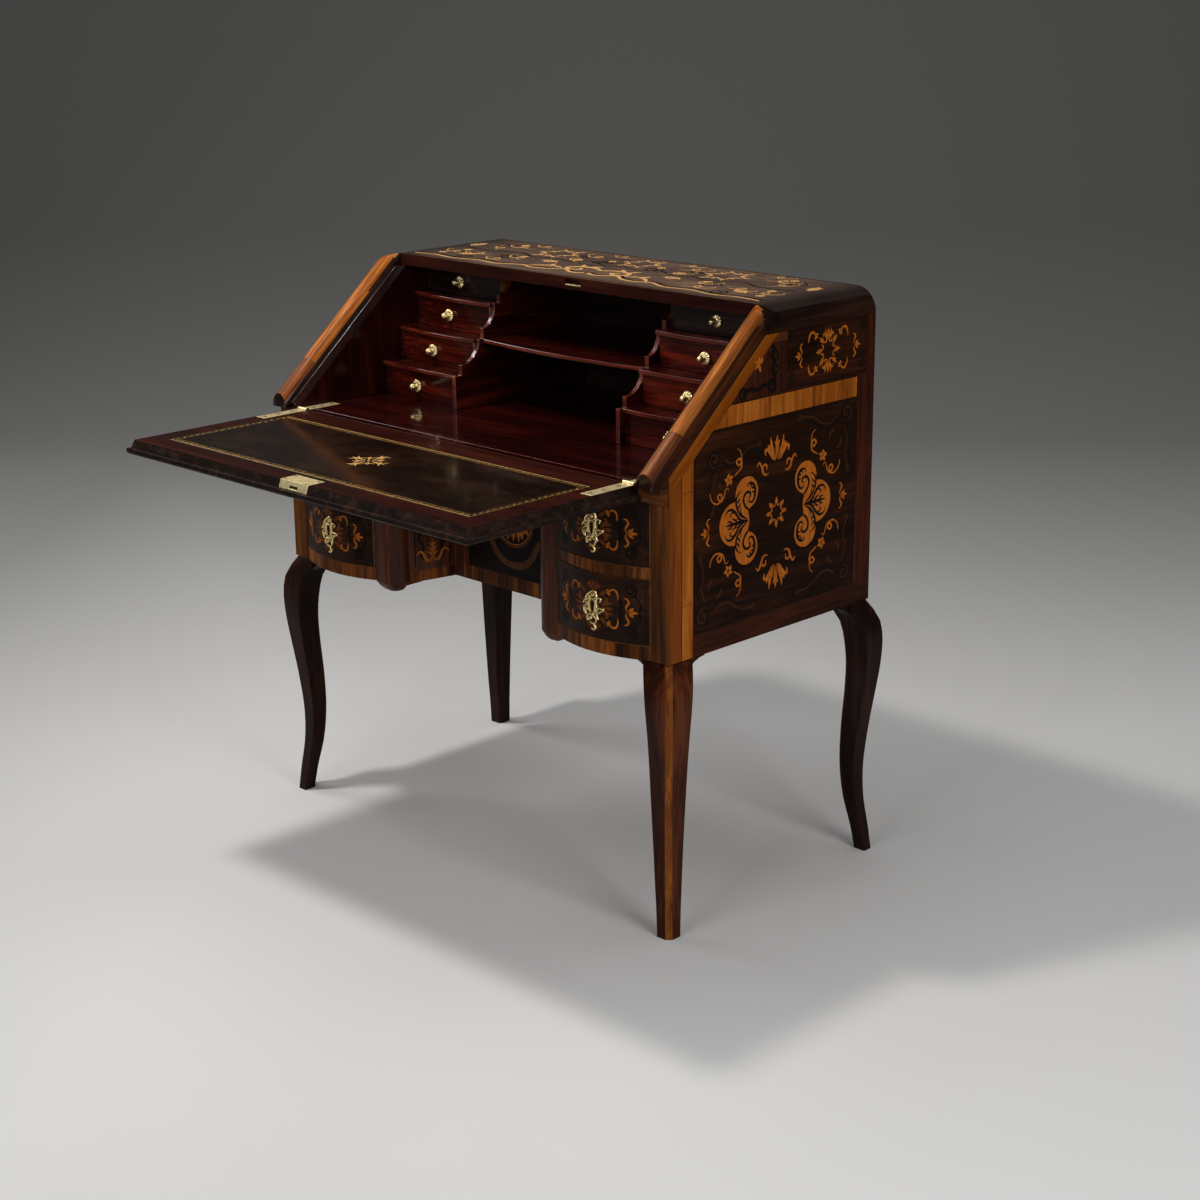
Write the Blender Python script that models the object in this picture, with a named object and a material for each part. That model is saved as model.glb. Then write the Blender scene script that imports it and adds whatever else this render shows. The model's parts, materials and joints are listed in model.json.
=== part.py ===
"""Slant-front writing secretary on cabriole legs.

Metres, +Z up, floor at z = 0, front towards -Y. Pieces are drawn in the case frame, whose y is 0 at the
back of the case, and hang from one empty that puts the origin under the middle of the open secretary.
The fall is drawn open, as a writing surface, with every drawer shut.
"""
import math

import bmesh
import bpy
from mathutils import Vector

# Overall sizes
CASE_WIDTH = 0.9486
CASE_DEPTH = 0.5026
LEG_HEIGHT = 0.463
BED_HEIGHT = 0.7503
TOP_HEIGHT = 1.000

# Clearances
JOINT_GAP = 0.0004
SLIDE_GAP = 0.0010
REVEAL = 0.0015
FALL_GAP = 0.0012

# Case boards
SIDE_THICKNESS = 0.038
LINING_THICKNESS = 0.013
TOP_THICKNESS = 0.022
TOP_ROUND = 0.042
BACK_THICKNESS = 0.012
BOTTOM_THICKNESS = 0.0237
DIVIDER_THICKNESS = 0.019
GUIDE_THICKNESS = 0.011

# Slant and its rolls
SLANT_ANGLE = math.radians(40.75)
HINGE_OVERHANG = 0.0176
ROLL_HEIGHT = 0.030
NOSE_OVERHANG = 0.0168

# Fall
FALL_THICKNESS = 0.024
BED_STEP = 0.0005
FALL_CANT_OUT = 0.005
FALL_CANT_DROP = 0.014
FALL_LIP_OUT = 0.0105
FALL_LIP_ROUND = 0.003
LEATHER_SIDE_MARGIN = 0.041
LEATHER_BEHIND_LOCK = 0.008
LEATHER_HINGE_MARGIN = 0.0535
LEATHER_THICKNESS = 0.002

# Fall hinges
HINGE_INSET = 0.0145
HINGE_WIDTH = 0.024
HINGE_PLATE = 0.0016
HINGE_BED_LEAF = 0.075
HINGE_FALL_LEAF = 0.095
KNUCKLE_RADIUS = 0.004
KNUCKLE_MIDDLE = 0.0088
PIN_RADIUS = 0.0014
PIN_CLEARANCE = 0.00035

# Fall lock
LOCK_X = 0.018
LOCK_WIDTH = 0.070
LOCK_LENGTH = 0.033
LOCK_THICKNESS = 0.0135
BOLT_WIDTH = 0.020
BOLT_THICKNESS = 0.004
BOLT_DROP = 0.009
BOLT_LENGTH = 0.022
BOLT_THROW = 0.012
BOLT_CLEARANCE = 0.0005
STRIKE_WIDTH = 0.037
STRIKE_THICKNESS = 0.0015

# Knee recess and pedestals
PEDESTAL_INNER = 0.234
PILASTER_RADIUS = 0.0265
PILASTER_PROUD = 0.0094
PILASTER_TAIL = 0.0065
PILASTER_DROP = 0.0165
PILASTER_FOOT_SHARE = 0.45
PILASTER_FACE_TURN = math.radians(75)
RECESS_SETBACK = 0.1126
RECESS_STEP = 0.0069
RECESS_SPLAY = 0.020
RECESS_PANEL_THICKNESS = 0.014
BAY_WALL_THICKNESS = 0.020

# Pedestal drawers
FRONT_THICKNESS = 0.022
FRONT_BOW = 0.024
FRONT_INNER_PROUD = 0.008
BOX_WALL = 0.009
BOX_FLOOR = 0.006
BOX_TOP_DROP = 0.014
BOX_BACK_GAP = 0.010
ESCUTCHEON_WIDTH = 0.046
ESCUTCHEON_HEIGHT = 0.070
ESCUTCHEON_THICKNESS = 0.0018
ESCUTCHEON_RISE = 0.004
ESCUTCHEON_END_SHARE = 0.10
ESCUTCHEON_POINT_SHARE = 0.18
ESCUTCHEON_POINT_POWER = 6
KEYHOLE_RADIUS = 0.0036
KEYHOLE_SLOT = 0.0034
KEYHOLE_LENGTH = 0.012
KEYHOLE_SLEEVE = 0.0065
DRAWER_LOCK_WIDTH = 0.052
DRAWER_LOCK_HEIGHT = 0.072
DRAWER_LOCK_THICKNESS = 0.011

# Centre drawer
CENTRE_FRONT_THICKNESS = 0.018
CENTRE_BOX_DROP = 0.040

# Interior
PARTITION_X = 0.2045
PARTITION_THICKNESS = 0.009
PARTITION_SETBACK = 0.1822
PARTITION_STEPS = (0.0590, 0.0400, 0.0460)
PARTITION_TREAD = 0.27
PARTITION_RISER = 0.31
TOP_DRAWER_SHORTER = 0.0103
LEDGE_THICKNESS = 0.007
LEDGE_PROUD = 0.005
BANK_SETBACK = 0.2062
BANK_SKEW = 0.011
BANK_BOW = 0.008
BANK_STEPS = (0.0, 0.041, 0.082, 0.110)
INNER_FRONT_THICKNESS = 0.011
INNER_WALL = 0.006
INNER_FLOOR = 0.005
INNER_TOP_DROP = 0.006
INNER_BACK_GAP = 0.012
SHELF_LEVEL = 2
SHELF_SETBACK = 0.2500
SHELF_BOW = 0.013
SHELF_THICKNESS = 0.008

# Interior knobs, turned about the pull direction
KNOB_PLATE_RADIUS = 0.0115
KNOB_PLATE_THICKNESS = 0.0022
KNOB_NECK_RADIUS = 0.0042
KNOB_BALL_RADIUS = 0.0068
KNOB_LENGTH = 0.0175
KNOB_RIM_SHARE = 0.7
KNOB_BALL_TURNS = (-52, -25, 0, 25, 50, 72)

# Legs: height share, outward shift of the section's centre from the case corner, and section side
LEG_STATIONS = (
    (0.00, 0.0018, 0.0270),
    (0.09, -0.0030, 0.0285),
    (0.22, -0.0118, 0.0320),
    (0.35, -0.0147, 0.0355),
    (0.50, -0.0118, 0.0400),
    (0.65, -0.0062, 0.0445),
    (0.76, -0.0032, 0.0490),
    (0.86, -0.0045, 0.0540),
    (0.93, -0.0105, 0.0560),
    (1.00, -0.0280, 0.0560),
)
LEG_RINGS = 24
LEG_OUTER_CHAMFER = 0.0085
LEG_INNER_CHAMFER = 0.0045
EAR_LENGTH = 0.086
EAR_ROOT = 0.029
EAR_DROP = 0.064
EAR_THICKNESS = 0.024
EAR_SETBACK = 0.0015

# Facets
ARC_STEPS = 8
BOW_STEPS = 12
TURNED_STEPS = 14
BORE_STEPS = 16

# Colours from the photograph, with roughness and metallic value
FINISHES = {
    "rosewood": ((0.045, 0.018, 0.010), 0.30, 0.0),
    "mahogany": ((0.110, 0.018, 0.012), 0.22, 0.0),
    "walnut": ((0.230, 0.100, 0.035), 0.35, 0.0),
    "pine": ((0.420, 0.270, 0.130), 0.60, 0.0),
    "leather": ((0.016, 0.011, 0.008), 0.28, 0.0),
    "brass": ((0.640, 0.500, 0.230), 0.28, 1.0),
}

# Places worked out from the sizes above
HALF_WIDTH = CASE_WIDTH / 2
SIDE_INNER = HALF_WIDTH - SIDE_THICKNESS
LINING_INNER = SIDE_INNER - LINING_THICKNESS
FRONT_Y = -CASE_DEPTH
HINGE_Y = FRONT_Y - HINGE_OVERHANG
BACK_INNER_Y = -BACK_THICKNESS
CEILING = TOP_HEIGHT - TOP_THICKNESS
SIDE_TOP = TOP_HEIGHT - TOP_ROUND
BED_UNDER = BED_HEIGHT - FALL_THICKNESS - BED_STEP
SIN = math.sin(SLANT_ANGLE)
COS = math.cos(SLANT_ANGLE)
FALL_LIP_END = FALL_LIP_OUT - FALL_LIP_ROUND
FALL_LENGTH = (TOP_HEIGHT - BED_HEIGHT - FALL_THICKNESS * COS) / SIN - FALL_LIP_END
FALL_HALF = LINING_INNER - FALL_GAP
TOP_FRONT_Y = HINGE_Y + FALL_LENGTH * COS + FALL_GAP
BAY_HEIGHT = (BED_UNDER - LEG_HEIGHT - BOTTOM_THICKNESS - DIVIDER_THICKNESS) / 2
PILASTER_X = PEDESTAL_INNER - JOINT_GAP - PILASTER_RADIUS
PILASTER_Y = FRONT_Y - PILASTER_PROUD + PILASTER_RADIUS
PILASTER_BACK_Y = PILASTER_Y + PILASTER_TAIL
RECESS_Y = FRONT_Y + RECESS_SETBACK
RECESS_FRONT_HALF = PILASTER_X - PILASTER_RADIUS - RECESS_STEP
RECESS_HALF_WIDTH = RECESS_FRONT_HALF - RECESS_SPLAY
LEDGE_PITCH = (CEILING - BED_HEIGHT + TOP_DRAWER_SHORTER) / len(BANK_STEPS)
GUIDE_OUTER = PEDESTAL_INNER - SLIDE_GAP
FALL_REACH = FALL_LENGTH + FALL_LIP_OUT
FOOT_OUT = LEG_STATIONS[0][1] + LEG_STATIONS[0][2] / 2
ORIGIN_Y = (FALL_REACH - HINGE_Y - FOOT_OUT) / 2


def slant(along, out):
    """The (y, z) point at a distance up the slant from the hinge line and out from the slant plane."""
    return (HINGE_Y + along * COS - out * SIN, BED_HEIGHT + along * SIN + out * COS)


def clear_scene():
    for thing in list(bpy.data.objects):
        bpy.data.objects.remove(thing, do_unlink=True)


def finish_of(name, kind):
    colour, roughness, metallic = FINISHES[kind]
    material = bpy.data.materials.new(name + "_finish")
    material.use_nodes = True
    shader = material.node_tree.nodes["Principled BSDF"]
    shader.inputs["Base Color"].default_value = (*colour, 1.0)
    shader.inputs["Roughness"].default_value = roughness
    shader.inputs["Metallic"].default_value = metallic
    return material


def solid(points, faces):
    """A loose object from points and faces, with its faces turned outwards."""
    mesh = bpy.data.meshes.new("solid")
    mesh.from_pydata([tuple(p) for p in points], [], faces)
    shape = bmesh.new()
    shape.from_mesh(mesh)
    bmesh.ops.recalc_face_normals(shape, faces=shape.faces)
    shape.to_mesh(mesh)
    shape.free()
    thing = bpy.data.objects.new("solid", mesh)
    bpy.context.scene.collection.objects.link(thing)
    return thing


def loft(rings):
    """A closed solid through rings of as many points each, capped at both ends."""
    count = len(rings[0])
    points = [p for ring in rings for p in ring]
    faces = [list(range(count)), list(range(len(points) - count, len(points)))]
    for n in range(len(rings) - 1):
        for k in range(count):
            nxt = (k + 1) % count
            faces.append([n * count + k, n * count + nxt, (n + 1) * count + nxt, (n + 1) * count + k])
    return solid(points, faces)


def prism(outline, axis, low, high):
    """An outline in the two other axes, in X, Y, Z order, carried along an axis from low to high."""
    place = "XYZ".index(axis)
    rings = []
    for level in (low, high):
        rings.append([[*p[:place], level, *p[place:]] for p in outline])
    return loft(rings)


def box(low, high):
    outline = [(low[0], low[1]), (high[0], low[1]), (high[0], high[1]), (low[0], high[1])]
    return prism(outline, "Z", low[2], high[2])


def turned(profile, centre, axis, steps):
    """A solid of revolution from (distance along the axis, radius) pairs."""
    place = "XYZ".index(axis)
    rings = []
    for along, radius in profile:
        ring = []
        for k in range(steps):
            turn = math.tau * (k + 0.5) / steps
            pair = (radius * math.cos(turn), radius * math.sin(turn))
            ring.append(Vector((*pair[:place], along, *pair[place:])) + Vector(centre))
        rings.append(ring)
    return loft(rings)


def rod(centre, axis, low, high, radius, steps):
    return turned(((low, radius), (high, radius)), centre, axis, steps)


def combine(target, tool, operation):
    """Apply a Boolean to target with tool, which is used up."""
    step = target.modifiers.new("cut", "BOOLEAN")
    step.operation = operation
    step.solver = "EXACT"
    step.object = tool
    graph = bpy.context.evaluated_depsgraph_get()
    mesh = bpy.data.meshes.new_from_object(target.evaluated_get(graph))
    target.modifiers.clear()
    target.data = mesh
    bpy.data.objects.remove(tool, do_unlink=True)
    return target


def cut(target, *tools):
    for tool in tools:
        combine(target, tool, "DIFFERENCE")
    return target


def join(target, *tools):
    for tool in tools:
        combine(target, tool, "UNION")
    return target


def slice_off(thing, point, normal):
    """Remove what lies on the normal's side of a plane and close the cut."""
    shape = bmesh.new()
    shape.from_mesh(thing.data)
    everything = shape.verts[:] + shape.edges[:] + shape.faces[:]
    made = bmesh.ops.bisect_plane(shape, geom=everything, plane_co=point, plane_no=normal, clear_outer=True)
    rim = [e for e in made["geom_cut"] if isinstance(e, bmesh.types.BMEdge)]
    bmesh.ops.contextual_create(shape, geom=rim)
    bmesh.ops.recalc_face_normals(shape, faces=shape.faces)
    shape.to_mesh(thing.data)
    shape.free()
    return thing


def named(thing, name, kind, parent, origin=(0.0, 0.0, 0.0), smooth=False):
    """Name a finished piece, give it its finish and hang it from parent with its origin at a point."""
    thing.name = name
    thing.data.name = name
    thing.data.transform(thing.matrix_world.Translation(-Vector(origin)))
    thing.location = Vector(origin) - Vector(parent["case_place"])
    thing.parent = parent
    thing.data.materials.clear()
    thing.data.materials.append(finish_of(name, kind))
    if smooth:
        thing.data.shade_smooth()
        thing.data.set_sharp_from_angle(angle=math.radians(35))
    return thing


def empty(name, place, parent=None):
    holder = bpy.data.objects.new(name, None)
    bpy.context.scene.collection.objects.link(holder)
    holder["case_place"] = place
    if parent is None:
        holder.location = (0.0, ORIGIN_Y, 0.0)
    else:
        holder.location = Vector(place) - Vector(parent["case_place"])
        holder.parent = parent
    return holder


SIDES = {-1: "left", 1: "right"}


def span(side, inner, outer):
    """The low and high x of a stretch between two distances from the middle, on one side."""
    ends = (side * inner, side * outer)
    return min(ends), max(ends)


# Case

def side_panel(side):
    peak = slant((TOP_FRONT_Y - HINGE_Y) / COS, 0.0)
    outline = [
        (0.0, LEG_HEIGHT),
        (0.0, SIDE_TOP),
        (TOP_FRONT_Y - JOINT_GAP, SIDE_TOP),
        (TOP_FRONT_Y - JOINT_GAP, peak[1]),
        (HINGE_Y, BED_HEIGHT + JOINT_GAP),
        (FRONT_Y, BED_HEIGHT + JOINT_GAP),
        (FRONT_Y, LEG_HEIGHT),
    ]
    return prism(outline, "X", *span(side, SIDE_INNER, HALF_WIDTH))


def slant_roll(side):
    radius = SIDE_THICKNESS / 2
    section = [(SIDE_INNER, JOINT_GAP), (HALF_WIDTH, JOINT_GAP)]
    for k in range(2 * ARC_STEPS + 1):
        turn = math.pi * k / (2 * ARC_STEPS)
        across = SIDE_INNER + radius + radius * math.cos(turn)
        section.append((across, ROLL_HEIGHT - radius + radius * math.sin(turn)))
    run = (TOP_HEIGHT - BED_HEIGHT) / SIN
    rings = []
    for along in (-2 * NOSE_OVERHANG - ROLL_HEIGHT, run + ROLL_HEIGHT):
        rings.append([(side * x, *slant(along, out)) for x, out in section])
    roll = loft(rings)
    slice_off(roll, (0, HINGE_Y - NOSE_OVERHANG, 0), (0, -1, 0))
    slice_off(roll, (0, 0, BED_HEIGHT + JOINT_GAP), (0, 0, -1))
    slice_off(roll, (0, TOP_FRONT_Y - JOINT_GAP, 0), (0, 1, 0))
    slice_off(roll, (0, 0, TOP_HEIGHT), (0, 0, 1))
    return roll


def lining(side):
    """An interior lining with a bevelled slant edge, which the closed fall's canted edge lies against."""
    rest = FALL_CANT_DROP - FALL_GAP / 2
    top = CEILING - JOINT_GAP
    back = BACK_INNER_Y - JOINT_GAP
    outline = [
        (HINGE_Y + FALL_GAP, BED_HEIGHT + JOINT_GAP),
        slant(FALL_GAP, rest),
        slant((top - BED_HEIGHT - rest * COS) / SIN, rest),
        (back, top),
        (back, BED_HEIGHT + JOINT_GAP),
    ]
    board = prism(outline, "X", *span(side, LINING_INNER, SIDE_INNER - JOINT_GAP))
    normal = Vector((-side * FALL_CANT_DROP, -SIN * FALL_CANT_OUT, COS * FALL_CANT_OUT))
    return slice_off(board, (side * LINING_INNER, *slant(0.0, 0.0)), normal)


def top_board():
    outline = []
    for side in (1, -1):
        end = [
            (side * (SIDE_INNER - JOINT_GAP), CEILING),
            (side * (SIDE_INNER - JOINT_GAP), SIDE_TOP + JOINT_GAP),
            (side * HALF_WIDTH, SIDE_TOP + JOINT_GAP),
        ]
        for k in range(ARC_STEPS + 1):
            turn = math.pi / 2 * k / ARC_STEPS
            across = HALF_WIDTH - TOP_ROUND * (1 - math.cos(turn))
            end.append((side * across, SIDE_TOP + JOINT_GAP + (TOP_ROUND - JOINT_GAP) * math.sin(turn)))
        outline += end if side == 1 else end[::-1]
    board = prism(outline, "Y", TOP_FRONT_Y, 0.0)
    low, high = mortise_heights()
    mouth = TOP_FRONT_Y - TOP_THICKNESS
    return cut(board, box(
        (LOCK_X - STRIKE_WIDTH / 2, mouth, low),
        (LOCK_X + STRIKE_WIDTH / 2, TOP_FRONT_Y + mortise_depth(), high),
    ))


def mortise_depth():
    return BOLT_THROW * COS + 2 * BOLT_CLEARANCE


def mortise_heights():
    """Floor and roof of the mortise that the fall's bolt enters, with room for the strike plate."""
    under = BOLT_DROP - BOLT_THICKNESS / 2 - BOLT_CLEARANCE
    over = BOLT_DROP + BOLT_THICKNESS / 2 + BOLT_CLEARANCE
    entry = slant((TOP_FRONT_Y - HINGE_Y + under * SIN) / COS, under)[1]
    reach = slant(HINGE_Y - bolt_front_y() + BOLT_THROW, over)[1]
    return entry - STRIKE_THICKNESS - JOINT_GAP, reach + BOLT_CLEARANCE


def strike_plate():
    base = mortise_heights()[0] + JOINT_GAP
    half = STRIKE_WIDTH / 2 - JOINT_GAP
    back = TOP_FRONT_Y + mortise_depth() - JOINT_GAP
    return box((LOCK_X - half, TOP_FRONT_Y, base), (LOCK_X + half, back, base + STRIKE_THICKNESS))


def back_board():
    edge = SIDE_INNER - JOINT_GAP
    return box((-edge, BACK_INNER_Y, LEG_HEIGHT), (edge, 0.0, CEILING - JOINT_GAP))


def hinge_x(side):
    return side * (FALL_HALF - HINGE_INSET)


def hinge_seats(y_low, y_high):
    """Cutters for the two sunk hinge leaves and for their knuckles."""
    tools = []
    for side in SIDES:
        middle = hinge_x(side)
        half = HINGE_WIDTH / 2 + JOINT_GAP
        sink = BED_HEIGHT - HINGE_PLATE - JOINT_GAP
        tools.append(box((middle - half, y_low, sink), (middle + half, y_high, BED_HEIGHT + HINGE_PLATE)))
        room = KNUCKLE_RADIUS + JOINT_GAP
        tools.append(rod((middle, HINGE_Y, BED_HEIGHT), "X", -half, half, room, BORE_STEPS))
    return tools


def writing_bed():
    edge = SIDE_INNER - JOINT_GAP
    board = box((-edge, FRONT_Y + JOINT_GAP, BED_UNDER), (edge, BACK_INNER_Y - JOINT_GAP, BED_HEIGHT))
    return cut(board, *hinge_seats(HINGE_Y, HINGE_Y + HINGE_BED_LEAF + JOINT_GAP))


def front_rail():
    low = (-HALF_WIDTH, HINGE_Y + FALL_GAP / 2, BED_UNDER)
    rail = box(low, (HALF_WIDTH, FRONT_Y - JOINT_GAP, BED_HEIGHT))
    return cut(rail, *hinge_seats(HINGE_Y, HINGE_Y + HINGE_BED_LEAF + JOINT_GAP))


def bed_hinge_leaf(side):
    middle = hinge_x(side)
    half = HINGE_WIDTH / 2
    gap = KNUCKLE_MIDDLE / 2 + JOINT_GAP
    room = HINGE_Y + KNUCKLE_RADIUS + JOINT_GAP
    end = HINGE_Y + HINGE_BED_LEAF
    outline = [
        (middle - half, HINGE_Y), (middle - gap, HINGE_Y), (middle - gap, room), (middle + gap, room),
        (middle + gap, HINGE_Y), (middle + half, HINGE_Y), (middle + half, end), (middle - half, end),
    ]
    leaf = prism(outline, "Z", BED_HEIGHT - HINGE_PLATE, BED_HEIGHT)
    centre = (middle, HINGE_Y, BED_HEIGHT)
    join(leaf, rod(centre, "X", -half, -gap, KNUCKLE_RADIUS, BORE_STEPS))
    join(leaf, rod(centre, "X", gap, half, KNUCKLE_RADIUS, BORE_STEPS))
    return cut(leaf, rod(centre, "X", -HINGE_WIDTH, HINGE_WIDTH, PIN_RADIUS + PIN_CLEARANCE, BORE_STEPS))


def hinge_pin(side):
    half = HINGE_WIDTH / 2
    return rod((hinge_x(side), HINGE_Y, BED_HEIGHT), "X", -half, half, PIN_RADIUS, BORE_STEPS)


# Legs

def smooth_station(share):
    """The leg's centre shift and side at a share of its height, on a curve through the stations."""
    stations = LEG_STATIONS
    n = 0
    while n < len(stations) - 2 and share > stations[n + 1][0]:
        n += 1
    before = stations[max(n - 1, 0)]
    start = stations[n]
    end = stations[n + 1]
    after = stations[min(n + 2, len(stations) - 1)]
    width = end[0] - start[0]
    t = (share - start[0]) / width
    values = []
    for k in (1, 2):
        rise_start = (end[k] - before[k]) / (end[0] - before[0]) * width
        rise_end = (after[k] - start[k]) / (after[0] - start[0]) * width
        values.append(
            (2 * t ** 3 - 3 * t ** 2 + 1) * start[k] + (t ** 3 - 2 * t ** 2 + t) * rise_start
            + (3 * t ** 2 - 2 * t ** 3) * end[k] + (t ** 3 - t ** 2) * rise_end
        )
    return values


def leg(side, depth_side):
    """A cabriole leg at a case corner; depth_side is -1 at the front and 1 at the back."""
    corner_y = FRONT_Y if depth_side < 0 else 0.0
    height = LEG_HEIGHT - JOINT_GAP
    rings = []
    for n in range(LEG_RINGS + 1):
        share = n / LEG_RINGS
        shift, width = smooth_station(share)
        half = width / 2
        outer = half - LEG_OUTER_CHAMFER
        inner = half - LEG_INNER_CHAMFER
        section = [(half, outer), (outer, half), (-half, half)]
        section += [(-half, -inner), (-inner, -half), (half, -half)]
        ring = []
        for a, b in section:
            x = side * (HALF_WIDTH + shift + a)
            y = corner_y + depth_side * (shift + b)
            ring.append((x, y, height * share))
        rings.append(ring)
    post = loft(rings)
    inside = EAR_ROOT - LEG_INNER_CHAMFER
    curve = [(inside, height), (inside, height - EAR_DROP)]
    for k in range(ARC_STEPS + 1):
        turn = math.pi / 2 * k / ARC_STEPS
        reach = EAR_ROOT + (EAR_LENGTH - EAR_ROOT) * (1 - math.cos(turn))
        curve.append((reach, height - EAR_DROP * (1 - math.sin(turn)) - EAR_SETBACK))
    curve.append((EAR_LENGTH, height))
    near = -EAR_SETBACK
    far = -EAR_SETBACK - EAR_THICKNESS
    ends_y = sorted((corner_y + depth_side * near, corner_y + depth_side * far))
    ends_x = sorted((side * (HALF_WIDTH + near), side * (HALF_WIDTH + far)))
    along_x = prism([(side * (HALF_WIDTH - a), z) for a, z in curve], "Y", *ends_y)
    along_y = prism([(corner_y - depth_side * a, z) for a, z in curve], "X", *ends_x)
    return join(post, along_x, along_y)


# Pedestals and knee recess

def front_curve(outer, inner, inset):
    """Points (distance from the middle, y) behind a pedestal's bowed front, from outside to inside."""
    points = []
    for k in range(BOW_STEPS + 1):
        across = outer - (outer - inner) * k / BOW_STEPS
        points.append((across, bowed_front(across) + inset))
    return points


def bowed_front(across):
    """The y of a pedestal's bowed front at a distance from the middle."""
    half = (SIDE_INNER - PEDESTAL_INNER) / 2
    u = (across - PEDESTAL_INNER - half) / half
    return FRONT_Y - FRONT_INNER_PROUD * (1 - u) / 2 - FRONT_BOW * (1 - u * u)


def bottom_board():
    """One board under both pedestals and the centre bay, cut back at the knee recess."""
    panel_back = RECESS_HALF_WIDTH + RECESS_PANEL_THICKNESS + JOINT_GAP
    panel_front = RECESS_FRONT_HALF + RECESS_PANEL_THICKNESS + JOINT_GAP
    centre_front = RECESS_Y + CENTRE_FRONT_THICKNESS + SLIDE_GAP
    outer = SIDE_INNER - JOINT_GAP
    half = [(outer, BACK_INNER_Y - JOINT_GAP)] + front_curve(outer, PEDESTAL_INNER, 0.0) + [
        (PEDESTAL_INNER, PILASTER_BACK_Y + JOINT_GAP),
        (panel_front, PILASTER_BACK_Y + JOINT_GAP),
        (panel_back, RECESS_Y),
        (panel_back, centre_front),
    ]
    outline = half + [(-x, y) for x, y in reversed(half)]
    return prism(outline, "Z", LEG_HEIGHT, LEG_HEIGHT + BOTTOM_THICKNESS)


def drawer_frame(side):
    """A pedestal's divider, housed in the upright guide that its drawers run along."""
    base = LEG_HEIGHT + BOTTOM_THICKNESS + JOINT_GAP
    front = PILASTER_BACK_Y + JOINT_GAP
    back = BACK_INNER_Y - JOINT_GAP
    middle = GUIDE_OUTER - GUIDE_THICKNESS / 2
    outer = SIDE_INNER - JOINT_GAP
    outline = front_curve(outer, PEDESTAL_INNER, 0.0)
    outline += [(PEDESTAL_INNER, front), (middle, front), (middle, back), (outer, back)]
    low = bay_floor(1) - DIVIDER_THICKNESS
    frame = prism([(side * x, y) for x, y in outline], "Z", low, low + DIVIDER_THICKNESS)
    low_x, high_x = span(side, GUIDE_OUTER - GUIDE_THICKNESS, GUIDE_OUTER)
    return join(frame, box((low_x, front, base), (high_x, back, BED_UNDER - JOINT_GAP)))


def drawer_middle(side):
    return side * (SIDE_INNER + PEDESTAL_INNER) / 2


def pilaster(side):
    """A half-round upright with a rounded drop below the case."""
    edge = PEDESTAL_INNER - JOINT_GAP
    outline = [(edge, PILASTER_BACK_Y), (edge, FRONT_Y - FRONT_INNER_PROUD + REVEAL)]
    for k in range(2 * ARC_STEPS + 1):
        turn = -PILASTER_FACE_TURN - (math.pi - PILASTER_FACE_TURN) * k / (2 * ARC_STEPS)
        outline.append((
            PILASTER_X + PILASTER_RADIUS * math.cos(turn),
            PILASTER_Y + PILASTER_RADIUS * math.sin(turn),
        ))
    outline.append((PILASTER_X - PILASTER_RADIUS, PILASTER_BACK_Y))
    rings = []
    for k in range(ARC_STEPS + 1):
        turn = math.pi / 2 * k / ARC_STEPS
        scale = PILASTER_FOOT_SHARE + (1 - PILASTER_FOOT_SHARE) * math.sin(turn)
        z = LEG_HEIGHT - PILASTER_DROP * math.cos(turn)
        rings.append([
            (side * (PILASTER_X + (x - PILASTER_X) * scale), PILASTER_Y + (y - PILASTER_Y) * scale, z)
            for x, y in outline
        ])
    rings.append([(side * x, y, BED_UNDER - JOINT_GAP) for x, y in outline])
    return loft(rings)


def recess_side(side):
    """A splayed panel of the knee recess, with the stile and wall of the centre bay behind it."""
    front = RECESS_FRONT_HALF
    bay = RECESS_HALF_WIDTH - BAY_WALL_THICKNESS
    stile_back = RECESS_Y + CENTRE_FRONT_THICKNESS
    top = BED_UNDER - JOINT_GAP
    outline = [
        (front, PILASTER_BACK_Y + JOINT_GAP),
        (front + RECESS_PANEL_THICKNESS, PILASTER_BACK_Y + JOINT_GAP),
        (RECESS_HALF_WIDTH + RECESS_PANEL_THICKNESS, RECESS_Y),
        (RECESS_HALF_WIDTH, stile_back),
        (bay, stile_back),
        (bay, RECESS_Y),
        (RECESS_HALF_WIDTH, RECESS_Y),
    ]
    panel = prism([(side * x, y) for x, y in outline], "Z", LEG_HEIGHT, top)
    low_x, high_x = span(side, bay, RECESS_HALF_WIDTH)
    base = LEG_HEIGHT + BOTTOM_THICKNESS + JOINT_GAP
    start = stile_back - CENTRE_FRONT_THICKNESS / 2
    return join(panel, box((low_x, start, base), (high_x, BACK_INNER_Y - JOINT_GAP, top)))


# Pedestal drawers

def keyhole(middle, y_low, y_high, z):
    hole = rod((middle, 0.0, z), "Y", y_low, y_high, KEYHOLE_RADIUS, BORE_STEPS)
    half = KEYHOLE_SLOT / 2
    slot = box((middle - half, y_low, z - KEYHOLE_LENGTH), (middle + half, y_high, z))
    return join(hole, slot)


def bay_floor(level):
    return LEG_HEIGHT + BOTTOM_THICKNESS + level * (BAY_HEIGHT + DIVIDER_THICKNESS)


def lock_height(level):
    return bay_floor(level) + BAY_HEIGHT / 2


def lock_seat():
    """Front and back y of a pedestal drawer's lock case, let into the back of the bowed front."""
    back = bowed_front((SIDE_INNER + PEDESTAL_INNER) / 2) + FRONT_THICKNESS
    return back - DRAWER_LOCK_THICKNESS, back


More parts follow.
